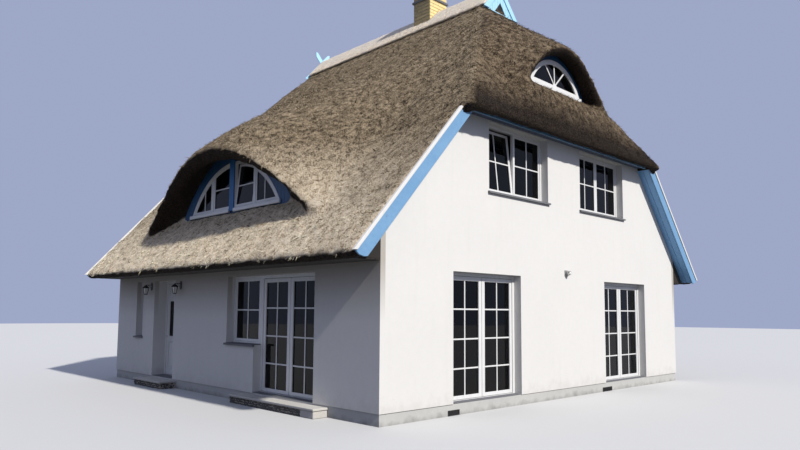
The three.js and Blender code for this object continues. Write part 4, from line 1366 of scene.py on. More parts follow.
@dataclass
class RoofTrim:
    """The painted boards at the verges, under the eaves and at the ridge's ends."""

    board: float = 0.03
    lining_top: float = -THATCH_DROP - SEAT
    under: float = -0.363
    face_top: float = -0.05
    strip: Point = (-0.06, 0.016)
    head: float = 4.985
    foot: float = 2.412
    lining_foot: float = 2.4303
    lining_boards: int = 2
    gap: float = 0.004
    soffit_edges: tuple[float, ...] = (4.7903, 4.858, 4.926, 4.985)
    soffit_reach: float = 5.508
    soffit_boards: int = 5
    soffit_heights: Point = (2.400, 2.424)
    toe: tuple[Point, ...] = ((5.560, 2.406), (5.650, 2.428))
    toe_top: float = 2.480
    hip_soffit: Point = (5.035, 5.056)
    hip_fascia: Point = (5.006, 5.058)
    hip_drip: Point = (5.000, 5.012)

    def build(self) -> None:
        """Dress all four verges, both hip eaves, both long eaves and both gablets."""
        for name, side, turn in (("front_left", -1, False), ("front_right", 1, False),
                                 ("back_right", -1, True), ("back_left", 1, True)):
            self.verge("bargeboard_" + name, side, half_turn(turn))
        for name, turn in (("front", False), ("back", True)):
            self.hip_eave("hip_eave_board_" + name, half_turn(turn))
            self.gablet("gablet_" + name, half_turn(turn))
        for name, turn in (("left", False), ("right", True)):
            self.soffit("eave_soffit_" + name, half_turn(turn))

    @staticmethod
    def band(low: float, high: float, bottom: float, top: float) -> Outline:
        """A band along a slope between two heights over the thatch's face, cut level at both ends."""
        return [(slope_reach(bottom, -low), bottom), (slope_reach(bottom, -high), bottom),
                (slope_reach(top, -high), top), (slope_reach(top, -low), top)]

    def verge(self, node: str, side: int, turn: Matrix) -> None:
        """A face board with a pale edge strip, and a boarded lining behind it."""
        piece = Piece("boards_" + node, turn)
        face = [(slope_reach(self.foot, -self.under), self.foot), *self.toe,
                (slope_reach(self.toe_top, -self.face_top), self.toe_top),
                (slope_reach(self.head, -self.face_top), self.head),
                (slope_reach(self.head, -self.under), self.head)]
        strip = self.band(*self.strip, self.toe_top + 0.010, self.head)
        lining = mirrored(self.band(self.under, self.lining_top, self.lining_foot, self.head), side)
        outer = -VERGE_PLANE - self.board
        piece.prism(mirrored(face, side), (outer, -VERGE_PLANE), SKY_BLUE, chamfer=EDGE)
        piece.prism(mirrored(strip, side), (outer - 0.020, -VERGE_PLANE), CREAM, chamfer=EDGE)
        width = (VERGE_PLANE - HALF_LENGTH - SEAT) / self.lining_boards
        for i in range(self.lining_boards):
            start = -VERGE_PLANE + i * width + (self.gap if i else SEAT)
            piece.prism(lining, (start, -VERGE_PLANE + (i + 1) * width), SLOPED_BLUE, chamfer=EDGE)
        piece.done("blue_board", [node])

    def hip_eave(self, node: str, turn: Matrix) -> None:
        """Soffit boards and a fascia with a drip edge under the hip's thick eave."""
        piece = Piece("boards_" + node, turn)
        reach, (under, over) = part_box(node)[1].x, self.hip_soffit
        for start, end in zip(self.soffit_edges, self.soffit_edges[1:]):
            piece.box((-reach, -end + 0.002, under), (reach, -start - 0.002, over), NAVY, EDGE)
        (low, high), (drip, drip_top) = self.hip_fascia, self.hip_drip
        piece.box((-reach, -5.008, low), (reach, -4.986, high), SLOPED_BLUE, EDGE)
        piece.box((-reach, -5.012, drip), (reach, -4.985, drip_top), SKY_BLUE)
        piece.done("blue_board", [node])

    def soffit(self, node: str, turn: Matrix) -> None:
        """Boards along under a long eave, and one that closes each end behind the verge, all near black as
        painted shade.
        """
        piece = Piece("boards_" + node, turn)
        inner, (foot, head) = HALF_WIDTH + SEAT, self.soffit_heights
        step = (self.soffit_reach - inner) / self.soffit_boards
        for i in range(self.soffit_boards):
            start = -self.soffit_reach + i * step + self.gap / 2
            end = start + step - self.gap
            piece.box((start, -HALF_LENGTH, foot), (end, HALF_LENGTH, head), SHADE_BLACK, 0.005)
        low, under, near = head + 0.0005, RIDGE - THATCH_DROP - 0.036, inner + 0.001
        closing = [(-near, low), (-near, under - PITCH * near), (-(under - low) / PITCH, low)]
        for side in (-1, 1):
            start, end = sorted((side * (HALF_LENGTH - 0.001), side * (HALF_LENGTH - 0.021)))
            piece.prism(closing, (start, end), SHADE_BLACK, chamfer=0.002)
        piece.done("blue_board", [node])

    def gablet(self, node: str, turn: Matrix) -> None:
        """Upright boards round a three-cornered hole, under two boards that cross over the ridge, with a
        black board in the hole as painted shadow.
        """
        piece = Piece("boards_" + node, turn)
        plane, foot = -(GABLET_PLANE + SEAT), HIP_TOP + 0.01
        half, hole, hole_top = slope_reach(foot, 0), 0.21, foot + 0.27

        def low(a: float) -> float:
            """The boards' lower edge, over their foot or over the hole."""
            return max(foot, hole_top - (hole_top - foot) * abs(a) / hole)

        def line(a: float, offset: float) -> float:
            """A line along the right-hand slope, carried on past the ridge."""
            return RIDGE - PITCH * a + offset

        boards(piece, (-half, half), 0.098, low, slope_top, (plane - 0.025, plane - 0.004), PALE_BLUE)
        # Painted shadow: a black board behind the hole stands in for the dark inside the roof.
        backing = [(-hole - 0.03, foot), (hole + 0.03, foot), (0.0, hole_top + 0.04)]
        piece.prism(backing, (plane - 0.0035, plane), SHADOW_BLACK, chamfer=0.0005)
        piece.box((-hole, plane - 0.022, foot), (hole, plane - 0.005, foot + 0.022), PALE_BLUE)
        horn, under, over = -0.23, -0.13, 0.06
        band = [(slope_reach(foot, -over), foot), (slope_reach(foot, -under), foot),
                (horn, line(horn, under)), (horn - 0.010, line(horn + 0.03, over) - 0.02),
                (horn + 0.06, line(horn + 0.06, over))]
        for side, face, back in ((1, plane - 0.045, plane - 0.026), (-1, plane - 0.066, plane - 0.046)):
            piece.prism(mirrored(band, side), (face, back), PALE_BLUE, chamfer=EDGE)
            nail = [(0, face - 0.004), (0.006, face - 0.003), (0.007, face + 0.002), (0, face + 0.003)]
            for a in (0.25 * side * half, 0.6 * side * half):
                piece.lathe(nail, (a, slope_top(a) - 0.035), STEEL, steps=8)
        piece.done("blue_board", [node])


def mirrored(outline: Outline, side: int) -> Outline:
    """The outline as it is, or, where side is -1, mirrored about the middle."""
    return [(side * a, b) for a, b in outline]


def boards(piece: Piece, span: Point, width: float, low: Callable[[float], float],
           high: Callable[[float], float], depths: Point, finish: Finish, gap: float = 0.005) -> None:
    """Fill a shape with upright boards of about one width.

    Args:
        piece: the piece to add to.
        span: the shape's ends.
        width: about how wide a board is.
        low: the shape's lower edge at a place across it.
        high: its upper edge.
        depths: the boards' faces.
        finish: their finish.
        gap: the joint between two boards.
    """
    count = max(1, round((span[1] - span[0]) / width))
    step = (span[1] - span[0]) / count
    for i in range(count):
        start, end = span[0] + i * step + gap / 2, span[0] + (i + 1) * step - gap / 2
        places = [start + (end - start) * k / 8 for k in range(9)]
        lower = [(a, low(a)) for a in places]
        upper = [(a, max(high(a), low(a) + 0.004)) for a in places]
        if max(b[1] - a[1] for a, b in zip(lower, upper)) > 0.03:
            piece.prism(lower + upper[::-1], depths, finish, chamfer=0.001)


def crossing(outline: Outline, place: float, level: bool = False) -> Point:
    """Where an upright (or, if level, a level) line at a place enters and leaves an outline."""
    first, second = (1, 0) if level else (0, 1)
    hits = []
    for p, q in zip(outline, outline[1:] + outline[:1]):
        if (p[first] - place) * (q[first] - place) < 0:
            share = (place - p[first]) / (q[first] - p[first])
            hits.append(p[second] + share * (q[second] - p[second]))
    return min(hits), max(hits)


@dataclass(frozen=True)
class RoundHead:
    """A window's shape under a circle's arc, over a level foot."""

    half_span: float
    base: float
    rise: float

    @property
    def radius(self) -> float:
        """The arc's radius."""
        return (self.half_span**2 + self.rise**2) / (2 * self.rise)

    def height(self, a: float, edge: float = 0.0) -> float:
        """The height of the arc at a place across it, drawn in by an edge."""
        middle = self.base + self.rise - self.radius
        return middle + math.sqrt(max((self.radius - edge)**2 - a * a, 0.0))

    def end(self, edge: float) -> float:
        """How far across the arc, drawn in by an edge, meets the foot, raised by it."""
        rise = self.base + edge - (self.base + self.rise - self.radius)
        return math.sqrt((self.radius - edge)**2 - rise**2)

    def field(self, start: float, end: float, edge: float, steps: int = 12) -> Outline:
        """The part between two places, drawn in by an edge at the arc and the foot."""
        limit = self.end(edge)
        start, end = max(start, -limit), min(end, limit)
        foot = self.base + edge
        top = [end + (start - end) * i / steps for i in range(steps + 1)]
        row = [(a, max(self.height(a, edge), foot)) for a in top]
        low = [(start, foot), (end, foot)]
        return low + [point for point in row if point not in low]


def round_boards(piece: Piece, head: RoundHead, panel: Triple, width: float, foot: float,
                 depths: Point) -> None:
    """Fill the space between a window's arc and the brow over it with upright boards.

    Args:
        piece: the piece to add to.
        head: the window's shape.
        panel: the brow's half span, base and rise.
        width: about how wide a board is.
        foot: how far down the boards beside the window reach.
        depths: the boards' faces.
    """
    half, base, rise = panel

    def low(a: float) -> float:
        """The boards' lower edge, hidden behind the window's frame."""
        return head.height(a) - 0.012 if abs(a) < head.half_span - 0.02 else foot

    def high(a: float) -> float:
        """Their upper edge, hidden in the thatch."""
        return arch_height(half, base, rise, a) + 0.035

    boards(piece, (-half - 0.02, half + 0.02), width, low, high, depths, SHADE_DARK_BLUE)


@dataclass(frozen=True)
class Bars:
    """Glazing bars: where the uprights and the levels stand, and how wide they are."""

    uprights: tuple[float, ...] = ()
    levels: tuple[float, ...] = ()
    width: float = 0.026
    lap: float = 0.003

    def outlines(self, opening: Outline) -> list[Outline]:
        """The bars' outlines inside a glass opening."""
        half, lap = self.width / 2, self.lap
        made = []
        for a in self.uprights:
            low, high = crossing(opening, a)
            made.append(rectangle(a - half, a + half, low - lap, high + lap))
        for z in self.levels:
            left, right = crossing(opening, z, level=True)
            made.append(rectangle(left - lap, right + lap, z - half, z + half))
        return made


# How far panes, seals and bars reach from a pane's middle, and by how much each further bar is thinner
PANE = 0.004
SEAL: Point = (0.0042, 0.011)
BAR: Point = (0.0045, 0.017)
BAR_STEP = 0.0004

# A sash's faces and the line that it tilts about, behind the face of its frame
SASH: Point = (0.010, 0.054)
TILT_LINE = 0.035


def both_faces(middle: float, reach: Point) -> list[Point]:
    """A span of depths on each side of a pane's middle."""
    near, far = reach
    return [(middle - far, middle - near), (middle + near, middle + far)]


def glaze(piece: Piece, outline: Outline, opening: Outline, depths: Point,
          bars: Sequence[Outline] = ()) -> None:
    """Make a glazed sash: its rim, a black seal, the pane, and bars on both faces of the pane.

    Args:
        piece: the piece to add to.
        outline: the sash's outer edge.
        opening: the edge of its glass.
        depths: its outer and inner face.
        bars: the bars' outlines.
    """
    middle = (depths[0] + depths[1]) / 2
    edge = turned(opening, True)
    piece.prism(outline, depths, WHITE, [opening], chamfer=EDGE)
    piece.prism(inset(edge, -0.004), (middle - PANE, middle + PANE), GLASS, chamfer=FINE_EDGE)
    for span in both_faces(middle, SEAL):
        piece.prism(inset(edge, -0.002), span, RUBBER, [inset(edge, 0.0045)], chamfer=FINE_EDGE)
    for number, bar in enumerate(bars):
        thinner = BAR_STEP * number
        for span in both_faces(middle, (BAR[0] + thinner, BAR[1] - thinner)):
            piece.prism(bar, span, WHITE)


def tilt(foot: float, front: float, tipped: bool, degrees: float = 6.0) -> Matrix:
    """The lean of a sash that is tipped in at its head, or none where it is shut."""
    if not tipped:
        return Matrix.Identity(4)
    depth = front + TILT_LINE
    return (Matrix.Translation((0, depth, foot)) @ Matrix.Rotation(-math.radians(degrees), 4, "X")
            @ Matrix.Translation((0, -depth, -foot)))


def sill(piece: Piece, span: Point, z: float, front: float) -> None:
    """A slate sill: a nosing past the wall's face, and a sloping part in the reveal.

    Args:
        piece: the piece to add to.
        span: the opening's sides.
        z: the height of the opening's foot.
        front: the window's face, from the wall's.
    """
    clear, past = 0.0006, 0.035
    nosing = [(-0.045, z - 0.028), (-clear, z - 0.028), (-clear, z + 0.010), (-0.045, z + 0.004)]
    piece.prism(nosing, (span[0] - past, span[1] + past), SILL, plane=Plane.SECTION)
    slope = [(-0.004, z + clear), (front, z + clear), (front, z + 0.020), (-0.004, z + 0.009)]
    piece.prism(slope, (span[0] + clear, span[1] - clear), SILL, plane=Plane.SECTION, chamfer=0.002)


@dataclass
class Casement:
    """A window in a wall: white frame, barred sashes with seals and panes, and a slate sill."""

    node: str
    wall: Wall
    sashes: int = 2
    columns: int = 2
    rows: int = 2
    tilted: bool = False
    frame: float = 0.045
    stile: float = 0.050
    meeting: float = 0.056
    depth: float = 0.070
    gap: float = 0.0015
    cover: Point = (0.002, 0.045)

    def build(self) -> None:
        """Make the window in place of its solid."""
        low, high = self.wall.box(self.node)
        piece = Piece("glazed_" + self.node, self.wall.matrix)
        self.draw(piece, (low.x, high.x), (low.z, high.z), low.y)
        piece.done("window", [self.node])
        ledge = Piece("sill_" + self.node, self.wall.matrix)
        sill(ledge, (low.x, high.x), low.z - SEAT, low.y)
        ledge.done("stone")

    def draw(self, piece: Piece, across: Point, up: Point, front: float) -> None:
        """Draw the frame and its sashes.

        Args:
            piece: the piece to add to.
            across: the frame's sides.
            up: its foot and head.
            front: its outer face, from the wall's.
        """
        (a0, a1), (z0, z1) = across, up
        inner = rectangle(a0 + self.frame, a1 - self.frame, z0 + self.frame, z1 - self.frame)
        piece.prism(rectangle(a0, a1, z0, z1), (front, front + self.depth), WHITE, [inner], chamfer=EDGE)
        middle, rim = (a0 + a1) / 2, self.frame + self.gap
        edges = [(a0 + rim, a1 - rim)]
        if self.sashes == 2:
            edges = [(a0 + rim, middle - self.gap), (middle + self.gap, a1 - rim)]
            near, far = self.cover
            piece.box((middle + near, front + 0.056, z0 + self.frame),
                      (middle + far, front + 0.069, z1 - self.frame), WHITE)
        for number, edge in enumerate(edges):
            self.sash(piece, edge, (z0 + rim, z1 - rim), front, number)

    def sash(self, piece: Piece, across: Point, up: Point, front: float, number: int) -> None:
        """Draw one sash; its stile is wider where it meets the other one."""
        (start, end), (foot, head) = across, up
        left = self.meeting if number == 1 else self.stile
        right = self.meeting if number == 0 and self.sashes == 2 else self.stile
        opening = rectangle(start + left, end - right, foot + self.stile, head - self.stile)
        (p, bottom), _, (q, top), _ = opening
        bars = Bars(tuple(p + (q - p) * i / self.columns for i in range(1, self.columns)),
                    tuple(bottom + (top - bottom) * i / self.rows for i in range(1, self.rows)))
        with piece.moved(tilt(foot, front, self.tilted and number == 0)):
            glaze(piece, rectangle(start, end, foot, head), opening, (front + SASH[0], front + SASH[1]),
                  bars.outlines(opening))


def portal(a0: float, a1: float, z0: float, z1: float, width: float) -> Outline:
    """Two jambs under a head, all of one width."""
    i0, i1, top = a0 + width, a1 - width, z1 - width
    return [(a0, z0), (i0, z0), (i0, top), (i1, top), (i1, z0), (a1, z0), (a1, z1), (a0, z1)]


@dataclass
class GlazedDoors:
    """Two glazed leaves that open inwards in a white frame, with hinges, seal, lever and threshold."""

    name: str
    wall: Wall
    levels: tuple[float, ...] = (0.712, 1.200, 1.700)
    jamb: float = 0.060
    stile: float = 0.070
    meeting: float = 0.078
    foot_rail: float = 0.062
    gap: float = 0.006
    between: float = 0.010
    barrel: float = 0.008
    hinge_heights: tuple[float, ...] = (0.48, 1.96)
    knuckle: float = 0.045
    plate: float = 0.026
    slot_name: str = "window"
    leaves: tuple[str, ...] = ("leaf_a", "leaf_b")
    hinged: tuple[int, ...] = (-1, 1)
    depth: float = 0.070
    set_back: float = 0.010

    def build(self) -> None:
        """Make the frame, then each leaf on its own body."""
        node = f"{self.name}_frame"
        low, high = self.wall.box(node)
        boxes = [self.wall.box(f"{self.name}_{leaf}") for leaf in self.leaves]
        self.start, self.end = self.span(low, high, boxes)
        self.front = boxes[0][0].y - self.set_back
        self.foot, self.head = low.z + 0.022 + self.gap, high.z - self.jamb - self.gap + SEAT
        piece = Piece("white_" + node, self.wall.matrix)
        self.frame(piece, low, high)
        piece.done(self.slot_name, [node])
        self.hang()

    def span(self, low: Vector, high: Vector, boxes: list[tuple[Vector, Vector]]) -> Point:
        """The leaves' outer edges, from the barrels that their solids end in."""
        hinge = self.barrel + self.gap / 2
        return min(box[0].x for box in boxes) + hinge, max(box[1].x for box in boxes) - hinge

    def hang(self) -> None:
        """Make both leaves."""
        middle, half = (self.start + self.end) / 2, self.between / 2
        self.leaf(self.leaves[0], self.start, middle - half, -1)
        self.leaf(self.leaves[1], middle + half, self.end, 1)

    def frame(self, piece: Piece, low: Vector, high: Vector) -> None:
        """Jambs and head, seal, threshold and the hinges' fixed halves."""
        a0, a1 = self.start - self.gap - self.jamb, self.end + self.gap + self.jamb
        z0, z1, front = low.z, high.z, self.front
        i0, i1 = a0 + self.jamb, a1 - self.jamb
        piece.prism(portal(a0, a1, z0, z1, self.jamb), (front, front + self.depth), WHITE, chamfer=EDGE)
        piece.prism(portal(i0, i1, z0 + 0.03, z1 - self.jamb, 0.002), (front + 0.030, front + 0.055), RUBBER,
                    chamfer=0.0005)
        piece.box((i0, front + 0.002, z0), (i1, front + self.depth, z0 + 0.021), WHITE)
        threshold = [(0.012, z0 + 0.0005), (front, z0 + 0.0005), (front, z0 + 0.016), (0.012, z0 + 0.009)]
        piece.prism(threshold, (a0 + 0.001, a1 - 0.001), SILL, plane=Plane.SECTION, chamfer=0.002)
        for side in self.hinged:
            self.hinges(piece, side)
        if low.x < a0 - 0.1:
            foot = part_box("hall_window")[0].z
            light = Casement(f"{self.name}_frame", self.wall, sashes=1)
            light.draw(piece, (low.x, a0 - 0.001), (foot, z1), front)
            sill(piece, (low.x, a0 - 0.001), foot - SEAT, front)

    def hinges(self, piece: Piece, side: int, moving: bool = False) -> None:
        """The fixed or the moving halves of the hinges at one side: barrels and plates.

        Args:
            piece: the frame or the leaf that they become part of.
            side: -1 for the left side and 1 for the right one.
            moving: True for the halves on the leaf, which stand on the fixed ones.
        """
        line = self.start - self.gap / 2 if side < 0 else self.end + self.gap / 2
        a0, a1 = sorted((line, line + (-side if moving else side) * self.plate))
        depth = self.front + self.depth + self.barrel + 0.001
        for height in self.hinge_heights:
            z = height + (self.knuckle + SEAT if moving else 0.0)
            top = z + self.knuckle
            profile = [(0, z), (self.barrel, z + 0.001), (self.barrel, top - 0.001), (0, top)]
            piece.lathe(profile, (line, depth), WHITE, Plane.PLAN, 12)
            piece.box((a0, depth - self.barrel - 0.004, z + 0.002),
                      (a1, depth - self.barrel + 0.002, top - 0.002), WHITE, 0.001)

    def leaf(self, name: str, start: float, end: float, side: int) -> None:
        """One leaf: rim, panes, bars, hinges, and a lever on the leaf that opens first."""
        node = f"{self.name}_{name}"
        piece = Piece("glazed_" + node, self.wall.matrix)
        outer, inner = self.front + self.set_back, self.front + self.depth
        left, right = (self.stile, self.meeting) if side < 0 else (self.meeting, self.stile)
        opening = rectangle(start + left, end - right, self.foot + self.foot_rail, self.head - self.stile)
        bars = Bars(((opening[0][0] + opening[1][0]) / 2,), self.levels).outlines(opening)
        glaze(piece, rectangle(start, end, self.foot, self.head), opening, (outer, inner), bars)
        self.hinges(piece, side, moving=True)
        if side > 0:
            self.handle(piece, start + self.meeting / 2, inner)
        piece.done(self.slot_name, [node], node)

    @staticmethod
    def handle(piece: Piece, a: float, face: float, z: float = 1.06) -> None:
        """A plate with a bent lever."""
        piece.prism(rectangle(a - 0.014, a + 0.014, z - 0.06, z + 0.06), (face, face + 0.007), STEEL)
        stem = [(0, face + 0.004), (0.009, face + 0.006), (0.008, face + 0.042), (0, face + 0.048)]
        piece.lathe(stem, (a, z), STEEL, steps=12)
        piece.box((a - 0.008, face + 0.032, z - 0.009), (a + 0.105, face + 0.046, z + 0.009), STEEL, EDGE)


@dataclass
class EntranceDoor(GlazedDoors):
    """The white entrance door in its niche: a narrow light beside its lock, and raised panels."""

    slot_name: str = "door"
    leaves: tuple[str, ...] = ("leaf",)
    hinged: tuple[int, ...] = (1,)
    light_width: float = 0.22
    light_heights: Point = (1.05, 1.86)
    stile: float = 0.09
    rail: float = 0.10
    muntin: float = 0.11
    bottom_rail: float = 0.13

    def span(self, low: Vector, high: Vector, boxes: list[tuple[Vector, Vector]]) -> Point:
        """The leaf's edges, from its barrels and the frame, which lies even about it."""
        end = boxes[0][1].x - self.barrel - self.gap / 2
        return low.x + high.x - end, end

    def hang(self) -> None:
        """Make the leaf: a light beside the lock, and panels under, beside and over it."""
        node, outer, inner = "entrance_leaf", self.front + self.set_back, self.front + self.depth
        piece = Piece("panelled_" + node, self.wall.matrix)
        left, far = self.start + self.stile, self.end - self.stile
        right, (low, high) = left + self.light_width, self.light_heights
        light = rectangle(left, right, low, high)
        panels = [rectangle(left, far, self.foot + self.bottom_rail, low - self.rail),
                  rectangle(right + self.muntin, far, low, high),
                  rectangle(left, far, high + self.rail, self.head - self.stile)]
        rim = rectangle(self.start, self.end, self.foot, self.head)
        piece.prism(rim, (outer, inner), WHITE, [light, *panels], chamfer=EDGE)
        for panel in panels:
            piece.prism(inset(panel, -0.004), (outer + 0.022, inner - 0.022), WHITE)
            piece.prism(inset(panel, 0.028), (outer + 0.006, inner - 0.006), WHITE, chamfer=0.012)
        glaze(piece, inset(light, -0.002), inset(light, 0.014), (outer + 0.012, inner - 0.012))
        self.hinges(piece, 1, moving=True)
        lock = self.start + self.stile / 2
        self.handle(piece, lock, inner)
        knob = [(0, outer - 0.030), (0.020, outer - 0.030), (0.022, outer - 0.020), (0.008, outer - 0.012),
                (0.010, outer + 0.002), (0, outer + 0.002)]
        piece.lathe(knob, (lock, 1.06), STEEL)
        piece.done(self.slot_name, [node], node)


@dataclass
class BroadDormer:
    """The dormer on a long slope: blue boards under the brow, darkened as painted shade, a blue post, and a
    white arched window.
    """

    side: str
    wall: Wall
    middle: float
    recess: float = 0.30
    head: RoundHead = RoundHead(1.6997, 3.6683, 0.9894)
    panel: Triple = (2.05, 3.661, 1.29)
    post: float = 0.088
    mullion: Point = (0.775, 0.845)
    frame: float = 0.048
    sash_rim: float = 0.046
    sash_gap: float = 0.002
    faces: Point = (-0.025, 0.045)
    wide: float = 1.5
    tilted: bool = True

    def build(self) -> None:
        """Make the boards, then the window."""
        matrix = self.wall.matrix @ Matrix.Translation((self.middle, self.recess, 0))
        # The panel and boards take the shade-darkened blue.
        dress(f"dormer_panel_{self.side}", SHADE_DARK_BLUE)
        around = Piece(f"dormer_boards_{self.side}", matrix)
        round_boards(around, self.head, self.panel, 0.115, 3.56, (-0.022, -SEAT))
        around.done("blue_board")
        window = Piece(f"arched_window_{self.side}", matrix)
        self.window(window)
        window.done("window", [f"dormer_window_{self.side}"])

    def window(self, piece: Piece) -> None:
        """Frame, post, sill and the four sashes from left to right."""
        front, head, (near, far) = self.faces[0], self.head, self.mullion
        fields = [(-2.0, -far), (-near, -self.post), (self.post, near), (far, 2.0)]
        holes = [head.field(start, end, self.frame) for start, end in fields]
        piece.prism(arc(head.half_span, head.base, head.rise), self.faces, WHITE, holes, chamfer=EDGE)
        piece.box((-self.post, front - 0.030, head.base - 0.02),
                  (self.post, front - 0.001, head.base + head.rise + 0.03), POST_BLUE, 0.006)
        for side in (-1, 1):
            a0, a1 = sorted((side * (self.post + 0.001), side * (head.half_span + 0.03)))
            piece.box((a0, front - 0.045, head.base - 0.045),
                      (a1, front - 0.001, head.base + 0.030), WHITE, 0.008)
        for number, (start, end) in enumerate(fields):
            self.sash(piece, start, end, self.tilted and number == 2)

    def sash(self, piece: Piece, start: float, end: float, tipped: bool) -> None:
        """One sash, barred in four where it is wide, and with one bar where it ends in a point."""
        front, limit, rim = self.faces[0], self.head.end(self.frame), self.sash_rim
        outer = self.head.field(start + self.sash_gap, end - self.sash_gap, self.frame + self.sash_gap)
        opening = self.head.field(max(start, -limit) + rim, min(end, limit) - rim, self.frame + rim)
        pointed = max(-start, end) > self.wide
        left, right = min(a for a, _ in opening), max(a for a, _ in opening)
        share = (0.42 if end > 0 else 0.58) if pointed else 0.5
        bottom = min(z for _, z in opening)
        levels = () if pointed else (bottom + 0.385,)
        bars = Bars((left + (right - left) * share,), levels, 0.024).outlines(opening)
        with piece.moved(tilt(bottom, front, tipped)):
            glaze(piece, outer, opening, (front + SASH[0], front + SASH[1]), bars)


@dataclass
class HoodWindow:
    """The half-round window under a hip's hood: white arched frame, three spokes, and blue boards darkened as
    painted shade.
    """

    side: str
    wall: Wall
    recess: float = 0.20
    head: RoundHead = RoundHead(0.94, 6.20, 0.62)
    panel: Triple = (1.25, 6.10, 0.87)
    rim: float = 0.095
    spokes: tuple[float, ...] = (45.0, 92.0, 132.0)
    spoke_half: float = 0.015
    faces: Point = (-0.030, 0.045)

    def build(self) -> None:
        """Make boards and window as one piece in place of the solid."""
        piece = Piece(f"hood_window_{self.side}", self.wall.matrix @ Matrix.Translation((0, self.recess, 0)))
        half, base, rise = self.panel
        foot = base - 0.1
        round_boards(piece, self.head, self.panel, 0.105, foot, (0.0, 0.022))
        piece.box((-half, 0.023, foot), (half, 0.045, base + 0.09), SHADE_DARK_BLUE)
        brow = [(a, arch_height(half, base, rise, a)) for a in np.linspace(-half, half, 17)]
        backing = [(-half - 0.001, foot), *brow, (half + 0.001, foot)]
        piece.prism(backing, (0.024, 0.050), SHADE_DARK_BLUE, [self.head.field(-1, 1, 0.03)])
        self.window(piece)
        piece.done("window", [f"hip_window_{self.side}"])

    def window(self, piece: Piece) -> None:
        """Frame, pane, spokes, hub and sill."""
        head, front = self.head, self.faces[0]
        glaze(piece, arc(head.half_span, head.base, head.rise), head.field(-1, 1, self.rim, 24), self.faces)
        hub, middle = Vector((0.0, head.base + self.rim)), sum(self.faces) / 2
        for angle in map(math.radians, self.spokes):
            along = Vector((math.cos(angle), math.sin(angle)))
            across = Vector((-along.y, along.x)) * self.spoke_half
            end = hub + along * (self.reach(hub, along) + 0.008)
            spoke = [tuple(corner) for corner in (hub - across, end - across, end + across, hub + across)]
            for span in both_faces(middle, BAR):
                piece.prism(spoke, span, WHITE)
        piece.prism(arc(0.075, hub.y - 0.004, 0.055, 10), (middle - 0.020, middle - BAR[0]), WHITE)
        reach = head.half_span + 0.02
        piece.box((-reach, front - 0.035, head.base - 0.075),
                  (reach, front + 0.004, head.base + 0.028), WHITE, 0.008)

    def reach(self, hub: Vector, along: Vector) -> float:
        """How far a spoke runs from the hub to the opening's arc."""
        away = hub - Vector((0.0, self.head.base + self.head.rise - self.head.radius))
        radius = self.head.radius - self.rim
        b = away.dot(along)
        return -b + math.sqrt(b * b - away.length_squared + radius * radius)


@dataclass
class Steps:
    """The two door steps: a pale slab over a riser of dark pebbles, with a cast block at one end."""

    slab: float = 0.037
    inset: float = 0.020
    block: float = 0.34
    bed: float = 0.012
    pitch: float = 0.036
    pebble: Point = (0.012, 0.021)

    def build(self) -> None:
        """Make both steps."""
        draw = np.random.default_rng(SEED + 31)
        for node, block in (("terrace_step", True), ("entrance_step", False)):
            low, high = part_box(node)
            piece = Piece("pebbled_" + node)
            under = high.z - self.slab
            piece.box((low.x, low.y, under), (high.x, high.y, high.z), SLAB_STONE, 0.006)
            x0, y0, y1 = low.x + self.inset, low.y + self.inset, high.y - self.inset
            first = y0 + (self.block if block else 0.0)
            piece.box((x0 + self.bed, y0 + self.bed, 0.0), (high.x, y1 - self.bed, under), MORTAR, EDGE)
            if block:
                piece.box((x0 - 0.004, y0 - 0.004, 0.0), (high.x, first, under - 0.001), SLAB_STONE, 0.008)
            faces = [(Vector((x0 + self.bed, 0, 0)), Vector((0, 1, 0)), first, y1),
                     (Vector((0, y1 - self.bed, 0)), Vector((1, 0, 0)), x0, high.x)]
            if not block:
                faces.append((Vector((0, first + self.bed, 0)), Vector((1, 0, 0)), x0, high.x))
            for origin, along, start, end in faces:
                self.pebbles(piece, origin + along * start, along, end - start, under, draw)
            piece.done("stone", [node])

    def pebbles(self, piece: Piece, origin: Vector, along: Vector, length: float, top: float,
                draw: np.random.Generator) -> None:
        """Bed rounded pebbles in one of the riser's faces.

        Args:
            piece: the piece to add to.
            origin: the foot of the face's first end.
            along: the way that the face runs.
            length: how long it is.
            top: how high it is.
            draw: the random draws for each pebble's size and place.
        """
        for row in range(int(top / self.pitch)):
            for k in range(int(length / self.pitch) - 1):
                r = draw.uniform(*self.pebble)
                place = origin + along * ((k + 0.7 + 0.4 * draw.random() + 0.5 * (row % 2)) * self.pitch)
                z = (row + 0.52 + 0.12 * draw.normal()) * self.pitch
                size = Vector((r, r, r * draw.uniform(0.7, 0.95)))
                centre = Vector((place.x, place.y, min(max(z, size.z), top - size.z)))
                piece.box(centre - size, centre + size, PEBBLE, 0.55 * r)


